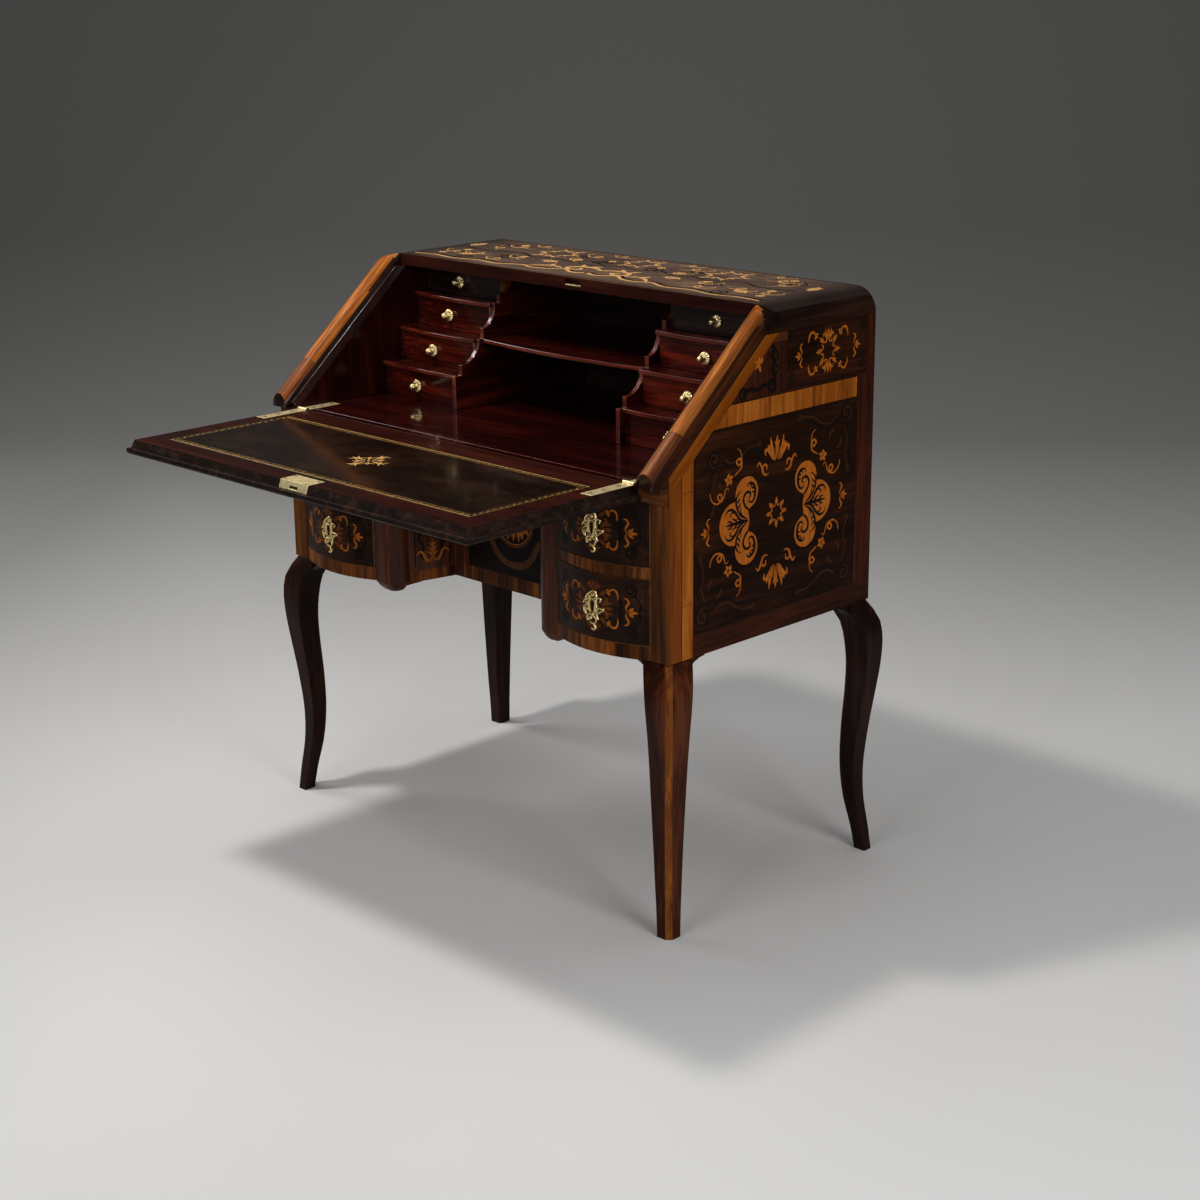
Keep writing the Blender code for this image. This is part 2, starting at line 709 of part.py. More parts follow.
def pedestal_drawer(side, level):
    floor = bay_floor(level)
    low = floor + REVEAL
    high = floor + BAY_HEIGHT - REVEAL
    outer = SIDE_INNER - REVEAL
    inner = PEDESTAL_INNER + REVEAL
    front = front_curve(outer, inner, 0.0)
    outline = front + [(x, y + FRONT_THICKNESS) for x, y in reversed(front)]
    drawer = prism([(side * x, y) for x, y in outline], "Z", low, high)
    back = BACK_INNER_Y - BOX_BACK_GAP
    outer -= SLIDE_GAP
    inner += SLIDE_GAP
    outline = front_curve(outer, inner, FRONT_THICKNESS / 2) + [(inner, back), (outer, back)]
    base = floor + JOINT_GAP
    join(drawer, prism([(side * x, y) for x, y in outline], "Z", base, high - BOX_TOP_DROP))
    outer -= BOX_WALL
    inner += BOX_WALL
    back -= BOX_WALL
    outline = front_curve(outer, inner, FRONT_THICKNESS) + [(inner, back), (outer, back)]
    cut(drawer, prism([(side * x, y) for x, y in outline], "Z", base + BOX_FLOOR, high + BOX_WALL))
    middle = drawer_middle(side)
    wide = DRAWER_LOCK_WIDTH / 2 + JOINT_GAP
    seat_front = lock_seat()[0] - JOINT_GAP
    cut(drawer, box(
        (middle - wide, seat_front, high - DRAWER_LOCK_HEIGHT - JOINT_GAP),
        (middle + wide, lock_seat()[1] + BOX_WALL, high + BOX_WALL),
    ))
    face = bowed_front(abs(middle)) - FRONT_THICKNESS
    end = seat_front + JOINT_GAP
    room = KEYHOLE_SLEEVE + JOINT_GAP
    cut(drawer, rod((middle, 0.0, lock_height(level)), "Y", face, end, room, BORE_STEPS))
    return cut(drawer, keyhole(middle, face, end, lock_height(level)))


def drawer_lock(side, level):
    """The escutcheon on a drawer's face, joined by its keyhole sleeve to the lock case behind."""
    middle = drawer_middle(side)
    centre = lock_height(level)
    columns = 2 * ARC_STEPS
    rings = []
    for k in range(columns + 1):
        turn = math.pi * k / columns
        x = middle - ESCUTCHEON_WIDTH / 2 * math.cos(turn)
        oval = 1 - ESCUTCHEON_END_SHARE - ESCUTCHEON_POINT_SHARE
        point = ESCUTCHEON_POINT_SHARE * math.sin(turn) ** ESCUTCHEON_POINT_POWER
        half = ESCUTCHEON_HEIGHT / 2 * (ESCUTCHEON_END_SHARE + oval * math.sin(turn) + point)
        rise = ESCUTCHEON_THICKNESS + (ESCUTCHEON_RISE - ESCUTCHEON_THICKNESS) * math.sin(turn)
        face = bowed_front(abs(x)) - JOINT_GAP
        rings.append([
            (x, face, centre - half), (x, face - rise, centre - half),
            (x, face - rise, centre + half), (x, face, centre + half),
        ])
    lock = loft(rings)
    reach = bowed_front(abs(middle)) - JOINT_GAP
    high = bay_floor(level) + BAY_HEIGHT - REVEAL
    half = DRAWER_LOCK_WIDTH / 2
    seat_front, seat_back = lock_seat()
    sleeve_end = seat_front + DRAWER_LOCK_THICKNESS / 2
    start = reach - ESCUTCHEON_THICKNESS
    join(lock, rod((middle, 0.0, centre), "Y", start, sleeve_end, KEYHOLE_SLEEVE, BORE_STEPS))
    join(lock, box((middle - half, seat_front, high - DRAWER_LOCK_HEIGHT), (middle + half, seat_back, high)))
    return cut(lock, keyhole(middle, reach - FRONT_THICKNESS, sleeve_end, centre))


def centre_drawer():
    edge = RECESS_HALF_WIDTH - BAY_WALL_THICKNESS - SLIDE_GAP
    top = BED_UNDER - REVEAL
    back_of_front = RECESS_Y + CENTRE_FRONT_THICKNESS
    drawer = box((-edge, RECESS_Y, LEG_HEIGHT), (edge, back_of_front, top))
    base = LEG_HEIGHT + BOTTOM_THICKNESS + JOINT_GAP
    side_x = edge - SLIDE_GAP
    start = RECESS_Y + CENTRE_FRONT_THICKNESS / 2
    back = BACK_INNER_Y - BOX_BACK_GAP
    join(drawer, box((-side_x, start, base), (side_x, back, top - CENTRE_BOX_DROP)))
    return cut(drawer, box(
        (-side_x + BOX_WALL, back_of_front, base + BOX_FLOOR),
        (side_x - BOX_WALL, back - BOX_WALL, top + BOX_WALL),
    ))


# Interior fittings

def ledge_top(level):
    """The top of the surface under an interior drawer: the bed, then each ledge."""
    return BED_HEIGHT + level * LEDGE_PITCH


def bank_edges():
    """Distances from the middle between which an interior bank of drawers lies."""
    return PARTITION_X + PARTITION_THICKNESS / 2 + JOINT_GAP, LINING_INNER - JOINT_GAP


def bank_front(across, level):
    """The y of an interior drawer's bowed front at a distance from the middle."""
    inner, outer = bank_edges()
    share = (across - inner) / (outer - inner)
    bow = BANK_BOW * (1 - (2 * share - 1) ** 2)
    return HINGE_Y + BANK_SETBACK + BANK_STEPS[level] + BANK_SKEW * (share - 1) - bow


def bank_curve(level, inner, outer, proud):
    points = []
    for k in range(BOW_STEPS + 1):
        across = outer - (outer - inner) * k / BOW_STEPS
        points.append((across, bank_front(across, level) - proud))
    return points


def bank_frame(side):
    """An interior partition with an ogee-stepped front edge and the ledges housed in it."""
    y = HINGE_Y + PARTITION_SETBACK
    outline = [(y, BED_HEIGHT + JOINT_GAP)]
    levels = [ledge_top(1), ledge_top(2), ledge_top(3), CEILING - JOINT_GAP]
    for n, step in enumerate(PARTITION_STEPS):
        z = levels[n]
        rise = levels[n + 1] - z
        outline.append((y, z))
        outline.append((y + PARTITION_TREAD * step, z))
        start_y = y + PARTITION_TREAD * step
        start_z = z + PARTITION_RISER * rise
        for k in range(ARC_STEPS):
            turn = math.pi / 2 * k / ARC_STEPS
            outline.append((
                start_y + (y + step - start_y) * math.sin(turn),
                start_z + (z + rise - start_z) * (1 - math.cos(turn)),
            ))
        y += step
    back = BACK_INNER_Y - JOINT_GAP
    outline += [(y, CEILING - JOINT_GAP), (back, CEILING - JOINT_GAP), (back, BED_HEIGHT + JOINT_GAP)]
    half = PARTITION_THICKNESS / 2
    frame = prism(outline, "X", *span(side, PARTITION_X - half, PARTITION_X + half))
    for level in range(1, len(BANK_STEPS)):
        curve = bank_curve(level - 1, PARTITION_X, LINING_INNER - JOINT_GAP, LEDGE_PROUD)
        board = curve + [(PARTITION_X, back), (LINING_INNER - JOINT_GAP, back)]
        top = ledge_top(level)
        join(frame, prism([(side * x, y) for x, y in board], "Z", top - LEDGE_THICKNESS, top))
    return frame


def centre_shelf():
    edge = PARTITION_X - PARTITION_THICKNESS / 2 - JOINT_GAP
    back = BACK_INNER_Y - JOINT_GAP
    outline = []
    for k in range(BOW_STEPS + 1):
        x = -edge + 2 * edge * k / BOW_STEPS
        outline.append((x, HINGE_Y + SHELF_SETBACK - SHELF_BOW * (1 - (x / edge) ** 2)))
    outline += [(edge, back), (-edge, back)]
    top = ledge_top(SHELF_LEVEL)
    return prism(outline, "Z", top - SHELF_THICKNESS, top)


def inner_heights(level):
    """Low and high z of an interior drawer's front, counted from 0 at the bed."""
    top = CEILING if level == len(BANK_STEPS) - 1 else ledge_top(level + 1) - LEDGE_THICKNESS
    return ledge_top(level) + SLIDE_GAP, top - SLIDE_GAP


def inner_drawer(side, level):
    low, high = inner_heights(level)
    inner, outer = bank_edges()
    inner += SLIDE_GAP
    outer -= SLIDE_GAP
    front = bank_curve(level, inner, outer, 0.0)
    outline = front + [(x, y + INNER_FRONT_THICKNESS) for x, y in reversed(front)]
    drawer = prism([(side * x, y) for x, y in outline], "Z", low, high)
    back = BACK_INNER_Y - INNER_BACK_GAP
    outer -= SLIDE_GAP
    inner += SLIDE_GAP
    outline = bank_curve(level, inner, outer, -INNER_FRONT_THICKNESS / 2) + [(inner, back), (outer, back)]
    base = ledge_top(level) + JOINT_GAP
    join(drawer, prism([(side * x, y) for x, y in outline], "Z", base, high - INNER_TOP_DROP))
    outer -= INNER_WALL
    inner += INNER_WALL
    back -= INNER_WALL
    outline = bank_curve(level, inner, outer, -INNER_FRONT_THICKNESS) + [(inner, back), (outer, back)]
    cutter = prism([(side * x, y) for x, y in outline], "Z", base + INNER_FLOOR, high + INNER_WALL)
    return cut(drawer, cutter)


def knob_place(side, level):
    inner, outer = bank_edges()
    middle = (inner + outer) / 2
    low, high = inner_heights(level)
    touch = min(bank_front(middle + off, level) for off in (-KNOB_PLATE_RADIUS, 0.0, KNOB_PLATE_RADIUS))
    return (side * middle, touch - JOINT_GAP, (low + high) / 2)


def knob(side, level):
    """A turned knob: rosette plate, neck and ball."""
    ball = KNOB_LENGTH - KNOB_BALL_RADIUS
    profile = [
        (0.0, KNOB_PLATE_RADIUS),
        (-KNOB_PLATE_THICKNESS / 2, KNOB_PLATE_RADIUS),
        (-KNOB_PLATE_THICKNESS, KNOB_PLATE_RADIUS * KNOB_RIM_SHARE),
        (-KNOB_PLATE_THICKNESS * 3 / 2, KNOB_NECK_RADIUS),
    ]
    for degrees in KNOB_BALL_TURNS:
        turn = math.radians(degrees)
        profile.append((-ball - KNOB_BALL_RADIUS * math.sin(turn), KNOB_BALL_RADIUS * math.cos(turn)))
    return turned(profile, knob_place(side, level), "Y", TURNED_STEPS)


# Fall

def edge_profile():
    """The fall's moulded edge as (outward, downward) pairs from its upper arris."""
    return [
        (0.0, 0.0),
        (FALL_CANT_OUT, FALL_CANT_DROP),
        (FALL_LIP_OUT, FALL_CANT_DROP + JOINT_GAP),
        (FALL_LIP_OUT, FALL_THICKNESS - FALL_LIP_ROUND),
        (FALL_LIP_END, FALL_THICKNESS),
    ]


def fall_board():
    rear = HINGE_Y - FALL_GAP / 2
    rings = []
    for out, drop in edge_profile():
        x = FALL_HALF + out
        y = HINGE_Y - FALL_LENGTH - out
        z = BED_HEIGHT - drop
        rings.append([(-x, rear, z), (-x, y, z), (x, y, z), (x, rear, z)])
    board = loft(rings)
    low, high = leather_corners(JOINT_GAP)
    cut(board, box((*low, BED_HEIGHT - LEATHER_THICKNESS - JOINT_GAP), (*high, TOP_HEIGHT)))
    cut(board, *hinge_seats(HINGE_Y - HINGE_FALL_LEAF - JOINT_GAP, HINGE_Y))
    half = LOCK_WIDTH / 2 + JOINT_GAP
    edge = HINGE_Y - FALL_LENGTH
    sink = BED_HEIGHT - LOCK_THICKNESS - JOINT_GAP
    return cut(board, box(
        (LOCK_X - half, edge - FALL_LIP_OUT - JOINT_GAP, sink),
        (LOCK_X + half, edge + LOCK_LENGTH + JOINT_GAP, TOP_HEIGHT),
    ))


def leather_corners(grow):
    edge = FALL_HALF - LEATHER_SIDE_MARGIN + grow
    front = HINGE_Y - FALL_LENGTH + LOCK_LENGTH + LEATHER_BEHIND_LOCK - grow
    return (-edge, front), (edge, HINGE_Y - LEATHER_HINGE_MARGIN + grow)


def leather_panel():
    low, high = leather_corners(0.0)
    return box((*low, BED_HEIGHT - LEATHER_THICKNESS), (*high, BED_HEIGHT))


def fall_hinge_leaf(side):
    middle = hinge_x(side)
    half = HINGE_WIDTH / 2
    tongue = KNUCKLE_MIDDLE / 2
    room = HINGE_Y - KNUCKLE_RADIUS - JOINT_GAP
    end = HINGE_Y - HINGE_FALL_LEAF
    outline = [
        (middle - half, end), (middle + half, end),
        (middle + half, room), (middle + tongue, room), (middle + tongue, HINGE_Y),
        (middle - tongue, HINGE_Y), (middle - tongue, room), (middle - half, room),
    ]
    leaf = prism(outline, "Z", BED_HEIGHT - HINGE_PLATE, BED_HEIGHT)
    centre = (middle, HINGE_Y, BED_HEIGHT)
    join(leaf, rod(centre, "X", -tongue, tongue, KNUCKLE_RADIUS, BORE_STEPS))
    return cut(leaf, rod(centre, "X", -HINGE_WIDTH, HINGE_WIDTH, PIN_RADIUS + PIN_CLEARANCE, BORE_STEPS))


def bolt_front_y():
    """The y of the retracted bolt's end, just inside the lock's canted face."""
    upper = BOLT_DROP - BOLT_THICKNESS / 2
    return HINGE_Y - FALL_LENGTH - FALL_CANT_OUT * upper / FALL_CANT_DROP + BOLT_CLEARANCE


def fall_lock():
    rear = HINGE_Y - FALL_LENGTH + LOCK_LENGTH
    front = HINGE_Y - FALL_LENGTH
    lean = FALL_CANT_OUT * LOCK_THICKNESS / FALL_CANT_DROP
    outline = [
        (rear, BED_HEIGHT), (front, BED_HEIGHT),
        (front - lean, BED_HEIGHT - LOCK_THICKNESS), (rear, BED_HEIGHT - LOCK_THICKNESS),
    ]
    half = LOCK_WIDTH / 2
    case = prism(outline, "X", LOCK_X - half, LOCK_X + half)
    wide = BOLT_WIDTH / 2 + BOLT_CLEARANCE
    thick = BOLT_THICKNESS / 2 + BOLT_CLEARANCE
    middle = BED_HEIGHT - BOLT_DROP
    return cut(case, box(
        (LOCK_X - wide, front - LOCK_LENGTH, middle - thick),
        (LOCK_X + wide, bolt_front_y() + BOLT_LENGTH + 2 * BOLT_CLEARANCE, middle + thick),
    ))


def fall_lock_bolt():
    wide = BOLT_WIDTH / 2
    thick = BOLT_THICKNESS / 2
    middle = BED_HEIGHT - BOLT_DROP
    front = bolt_front_y()
    return box((LOCK_X - wide, front, middle - thick), (LOCK_X + wide, front + BOLT_LENGTH, middle + thick))


# Assembly

def build_case(root):
    for side, word in SIDES.items():
        named(side_panel(side), word + "_side_panel", "rosewood", root)
        named(slant_roll(side), word + "_slant_roll", "walnut", root, smooth=True)
        named(lining(side), word + "_lining", "mahogany", root)
        named(pilaster(side), word + "_pilaster", "rosewood", root, smooth=True)
        named(recess_side(side), word + "_recess_side", "rosewood", root)
        named(drawer_frame(side), word + "_drawer_frame", "rosewood", root)
        named(leg(side, -1), "front_" + word + "_leg", "rosewood", root)
        named(leg(side, 1), "back_" + word + "_leg", "rosewood", root)
        named(bed_hinge_leaf(side), word + "_bed_hinge_leaf", "brass", root)
        named(hinge_pin(side), word + "_hinge_pin", "brass", root, smooth=True)
    named(top_board(), "top_board", "rosewood", root)
    named(strike_plate(), "strike_plate", "brass", root)
    named(back_board(), "back_board", "pine", root)
    named(writing_bed(), "writing_bed", "mahogany", root)
    named(front_rail(), "front_rail", "mahogany", root)
    named(bottom_board(), "bottom_board", "rosewood", root)


def build_interior(root):
    named(centre_shelf(), "centre_shelf", "mahogany", root)
    for side, word in SIDES.items():
        named(bank_frame(side), word + "_bank_frame", "mahogany", root)
        for level in range(len(BANK_STEPS)):
            place = knob_place(side, level)
            name = f"{word}_inner_drawer_{level + 1}"
            named(inner_drawer(side, level), name, "mahogany", root, origin=place)
            name = f"{word}_inner_knob_{level + 1}"
            named(knob(side, level), name, "brass", root, origin=place, smooth=True)


def build_pedestal_drawers(root):
    for side, word in SIDES.items():
        for level, height in enumerate(("lower", "upper")):
            name = f"{height}_{word}"
            place = (drawer_middle(side), FRONT_Y, lock_height(level))
            named(pedestal_drawer(side, level), name + "_drawer", "rosewood", root, origin=place)
            named(drawer_lock(side, level), name + "_lock", "brass", root, origin=place)
    named(centre_drawer(), "centre_drawer", "rosewood", root, origin=(0.0, RECESS_Y, LEG_HEIGHT))


def build_fall(root):
    axis = (0.0, HINGE_Y, BED_HEIGHT)
    holder = empty("fall_hinge_axis", axis, root)
    named(fall_board(), "fall_board", "mahogany", holder, origin=axis)
    named(leather_panel(), "leather_panel", "leather", holder, origin=axis)
    for side, word in SIDES.items():
        named(fall_hinge_leaf(side), word + "_fall_hinge_leaf", "brass", holder, origin=axis)
    named(fall_lock(), "fall_lock", "brass", holder, origin=axis)
    bolt_place = (LOCK_X, bolt_front_y(), BED_HEIGHT - BOLT_DROP)
    named(fall_lock_bolt(), "fall_lock_bolt", "brass", holder, origin=bolt_place)


def main():
    clear_scene()
    root = empty("secretary", (0.0, 0.0, 0.0))
    build_case(root)
    build_interior(root)
    build_pedestal_drawers(root)
    build_fall(root)


main()
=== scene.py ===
import json
import math

import bmesh
import bpy
from mathutils import Matrix, Vector

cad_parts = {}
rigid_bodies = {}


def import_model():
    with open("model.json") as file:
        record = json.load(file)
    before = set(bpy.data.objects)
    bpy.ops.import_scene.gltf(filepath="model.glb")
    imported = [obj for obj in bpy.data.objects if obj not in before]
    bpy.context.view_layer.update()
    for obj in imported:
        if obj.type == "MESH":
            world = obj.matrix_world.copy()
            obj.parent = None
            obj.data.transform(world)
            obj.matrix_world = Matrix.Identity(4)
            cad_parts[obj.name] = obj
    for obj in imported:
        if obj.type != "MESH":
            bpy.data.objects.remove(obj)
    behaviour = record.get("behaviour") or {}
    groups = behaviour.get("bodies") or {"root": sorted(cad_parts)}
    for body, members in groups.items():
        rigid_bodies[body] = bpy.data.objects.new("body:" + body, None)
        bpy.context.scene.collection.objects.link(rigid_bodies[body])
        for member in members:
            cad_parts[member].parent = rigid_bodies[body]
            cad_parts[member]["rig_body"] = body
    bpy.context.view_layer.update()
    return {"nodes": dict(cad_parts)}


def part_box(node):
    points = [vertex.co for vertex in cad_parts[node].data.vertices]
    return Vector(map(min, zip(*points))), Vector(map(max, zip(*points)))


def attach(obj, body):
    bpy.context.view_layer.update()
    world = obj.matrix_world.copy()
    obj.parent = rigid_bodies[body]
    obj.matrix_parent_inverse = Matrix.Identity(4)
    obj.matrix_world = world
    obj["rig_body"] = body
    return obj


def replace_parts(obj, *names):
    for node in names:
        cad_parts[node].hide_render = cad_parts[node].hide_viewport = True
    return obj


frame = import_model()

NODES = frame["nodes"]

# Sizes of the case in metres; y is counted from the back of the case
BACK_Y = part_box("back_board")[1].y
HALF_WIDTH, SIDE_INNER, PEDESTAL_INNER = 0.4743, 0.4363, 0.234
FRONT_Y, HINGE_Y, RECESS_Y = -0.5026, -0.5202, -0.390
LEG_HEIGHT, BED_HEIGHT, TOP_HEIGHT = 0.463, 0.7503, 1.0
SLANT = math.radians(40.75)
SIN, COS = math.sin(SLANT), math.cos(SLANT)
DRAWER_MIDDLE = (SIDE_INNER + PEDESTAL_INNER) / 2
DRAWER_ROWS = (("lower", 0.5417), ("upper", 0.6708))
SIDES = (("left", -1), ("right", 1))
MM = 0.001


# Materials

def tone(red, green, blue):
    """A display colour from 0 to 255 as linear light."""
    shares = (c / 255 for c in (red, green, blue))
    return tuple(((c + 0.055) / 1.055) ** 2.4 if c > 0.04 else c / 12.92 for c in shares) + (1.0,)


class Shader:
    """One procedural material under construction."""

    def __init__(self, name):
        self.material = bpy.data.materials.new(name)
        self.material.use_nodes = True
        self.tree = self.material.node_tree
        self.surface = self.tree.nodes["Principled BSDF"]

    def add(self, kind, inputs=(), **settings):
        made = self.tree.nodes.new("ShaderNode" + kind)
        for key, value in settings.items():
            setattr(made, key, value)
        for socket, value in dict(inputs).items():
            self.put(made, socket, value)
        return made

    def put(self, node, socket, value):
        if isinstance(value, bpy.types.NodeSocket):
            self.tree.links.new(value, node.inputs[socket])
        else:
            node.inputs[socket].default_value = value

    def set(self, **inputs):
        for socket, value in inputs.items():
            self.put(self.surface, socket.replace("_", " ").title().replace("Ior", "IOR"), value)

    def coordinates(self, scale=(1, 1, 1), turn=(0, 0, 0)):
        turned = self.add("Mapping", {"Vector": self.add("TexCoord").outputs["Object"], "Rotation": turn})
        return self.add("Mapping", {"Vector": turned.outputs[0], "Scale": scale}).outputs[0]

    def place(self):
        return self.add("SeparateXYZ", {"Vector": self.coordinates()}).outputs

    def noise(self, scale, turn=(0, 0, 0), detail=3.0, rough=0.55, distort=0.0):
        """Noise over the object's own coordinates; one number scales it evenly."""
        scale = scale if isinstance(scale, tuple) else (scale, scale, scale)
        inputs = {"Vector": self.coordinates(scale, turn), "Scale": 1.0, "Detail": detail, "Roughness": rough}
        return self.add("TexNoise", {**inputs, "Distortion": distort}).outputs["Fac"]

    def ramp(self, factor, *stops):
        made = self.add("ValToRGB", {"Fac": factor})
        points = made.color_ramp.elements
        while len(points) < len(stops):
            points.new(0.5)
        for point, (place, colour) in zip(points, stops):
            point.position = place
            point.color = colour if isinstance(colour, tuple) else (colour, colour, colour, 1.0)
        return made.outputs["Color"]

    def mix(self, factor, first, second, blend="MIX"):
        return self.add("Mix", {0: factor, 6: first, 7: second}, data_type="RGBA", blend_type=blend).outputs[2]

    def math(self, kind, first, second=0.0):
        return self.add("Math", {0: first, 1: second}, operation=kind).outputs[0]

    def blend(self, first, second, share):
        """first and second added up, second with its share and first with the rest."""
        return self.math("ADD", self.math("MULTIPLY", first, 1 - share), self.math("MULTIPLY", second, share))

    def span(self, value, low, high, start=0.0, end=1.0):
        inputs = {"Value": value, "From Min": start, "From Max": end, "To Min": low, "To Max": high}
        return self.add("MapRange", inputs).outputs[0]

    def bump(self, height, strength, distance):
        made = self.add("Bump", {"Height": height, "Strength": strength, "Distance": distance})
        self.put(self.surface, "Normal", made.outputs[0])


GRAIN = {"X": (0, 0, 0), "Y": (0, 0, -math.pi / 2), "Z": (0, math.pi / 2, 0)}
ALONG_SLANT, NEAR_SLANT = (-SLANT, 0, -math.pi / 2), (-SLANT, 0.06, -math.pi / 2)
IN_SHADE = (0.115, 0.082, 0.084, 1.0)


def wood(name, tones, grain="X", size=1.0, figure=0.55, rough=0.36, coat=0.02, coat_rough=0.1, stripes=0.0,
         contrast=1.0, gloss=0.04, wear=None, ends=None):
    """A polished timber in dark, middle and light tones: broad figure, streaks along the grain and pores.

    stripes is the share of cross-band bars, wear a rubbed tone, ends the range of |x| over which painted shade darkens
    it.
    """
    s = Shader(name)
    dark, base, light = (tone(*c) for c in tones)
    turn = GRAIN.get(grain, grain)
    broad = s.noise((2.6 / size, 17 / size, 17 / size), turn, distort=1.3)
    streak = s.noise((8 / size, 190 / size, 190 / size), turn, 5, 0.62)
    fine = s.noise((70, 1300, 1300), turn, 2)
    tint = s.blend(streak, broad, figure)
    if stripes:
        tint = s.blend(tint, s.noise((3, 34, 34), turn, 5, 0.68, 0.9), stripes)
    reach = 0.165 / contrast
    colour = s.ramp(tint, (0.5 - reach, dark), (0.5, base), (0.5 + reach, light))
    specks = s.ramp(fine, (0.57, 0.0), (0.68, 1.0))
    colour = s.mix(s.math("MULTIPLY", specks, 0.5), colour, dark)
    if wear:
        worn = s.noise(60, detail=5, rough=0.7)
        colour = s.mix(s.ramp(worn, (0.5, 0.0), (0.68, 1.0)), colour, tone(*wear))
    # Painted shade: the colour darkens across the ends range of |x|.
    if ends:
        across = s.math("ABSOLUTE", s.place()["X"])
        colour = s.mix(s.span(across, 0.0, 1.0, *ends), colour, IN_SHADE, "MULTIPLY")
    cloud = s.noise(9, detail=4)
    s.set(base_color=colour, roughness=s.span(cloud, rough - 0.07, rough + 0.1, 0.3, 0.7))
    s.set(coat_weight=coat, coat_roughness=coat_rough, specular_ior_level=gloss)
    s.bump(s.math("SUBTRACT", streak, s.math("MULTIPLY", specks, 0.8)), 0.22, 0.00025)
    return s.material


def brass(name, bright, shade, rough, patina):
    """Cast and rubbed brass, darkened in its hollows."""
    s = Shader(name)
    cloud = s.noise(140, detail=5, rough=0.65)
    scratch = s.noise((300, 2600, 2600), (0.3, 0.5, 0.2), 2)
    hollow = s.add("AmbientOcclusion", {"Distance": 0.0016}, samples=6, only_local=True).outputs["AO"]
    dirt = s.ramp(hollow, (0.3, 1.0), (0.88, 0.0))
    colour = s.mix(s.ramp(cloud, (0.42, 0.0), (0.72, patina)), tone(*bright), tone(*shade))
    colour = s.mix(s.math("MULTIPLY", dirt, 0.88), colour, tone(52, 34, 12))
    s.set(base_color=colour, metallic=1.0, roughness=s.span(cloud, rough - 0.08, rough + 0.16, 0.3, 0.7))
    s.bump(s.math("ADD", scratch, s.math("MULTIPLY", cloud, 1.5)), 0.15, 0.0002)
    return s.material


def marquetry(name, base, light, scorch, grain="Z"):
    """Inlaid veneer with its own grain, shaded by hot sand where the mesh says so."""
    s = Shader(name)
    streak = s.noise((22, 420, 420), GRAIN[grain], 4, 0.6)
    cloud = s.noise(34)
    colour = s.ramp(streak, (0.3, tone(*base)), (0.7, tone(*light)))
    burn = s.add("Attribute", attribute_name="burn").outputs["Fac"]
    burn = s.math("MULTIPLY", burn, s.span(cloud, 0.45, 1.2, 0.3, 0.7))
    s.set(base_color=s.mix(burn, colour, tone(*scorch)), roughness=s.span(cloud, 0.31, 0.46, 0.3, 0.7))
    s.set(coat_weight=0.03, coat_roughness=0.12, specular_ior_level=0.05)
    s.bump(streak, 0.15, 0.0002)
    return s.material


def hide_leather(name, base, rub):
    """Old glazed writing leather with fine grain and rubbed patches."""
    s = Shader(name)
    cells = s.add("TexVoronoi", {"Vector": s.coordinates(), "Scale": 900.0}).outputs["Distance"]
    patch = s.noise((11, 15, 11), detail=6, rough=0.66)
    smear = s.noise((5, 40, 5), (0, 0, 0.4), 4)
    wave = s.noise(24)
    s.set(base_color=s.mix(s.ramp(patch, (0.46, 0.0), (0.74, 1.0)), tone(*base), tone(*rub)))
    s.set(roughness=s.span(s.math("ADD", smear, patch), 0.28, 0.5, 0.7, 1.3))
    s.set(coat_weight=0.45, coat_roughness=0.1, specular_ior_level=0.06)
    s.bump(s.math("ADD", s.math("MULTIPLY", cells, 0.25), s.math("MULTIPLY", wave, 3.0)), 0.25, 0.0005)
    return s.material


def gilding(name, gold, ground):
    """Gold leaf tooling, rubbed through to the leather in places."""
    s = Shader(name)
    rubbed = s.noise(130, detail=5, rough=0.7)
    mask = s.ramp(rubbed, (0.34, 1.0), (0.44, 0.0))
    s.set(base_color=s.mix(mask, tone(*gold), tone(*ground)), roughness=s.span(rubbed, 0.28, 0.5, 0.3, 0.7))
    s.set(metallic=s.span(mask, 0.3, 0.0))
    s.bump(rubbed, 0.1, 0.0002)
    return s.material


FIELD = (12, 5, 2), (33, 14, 5), (62, 30, 12)
RED = (18, 3, 3), (52, 11, 7), (108, 33, 14)
BED = (14, 2, 2), (32, 5, 4), (58, 14, 8)
STILE = (24, 8, 3), (50, 20, 8), (80, 36, 15)
SATIN = (96, 46, 7), (144, 76, 16), (178, 109, 42)
# Over this range of |x| the rolls darken towards their outer side: painted shade.
ROLL_PAINTED_SHADE_SPAN = (0.458, 0.4755)

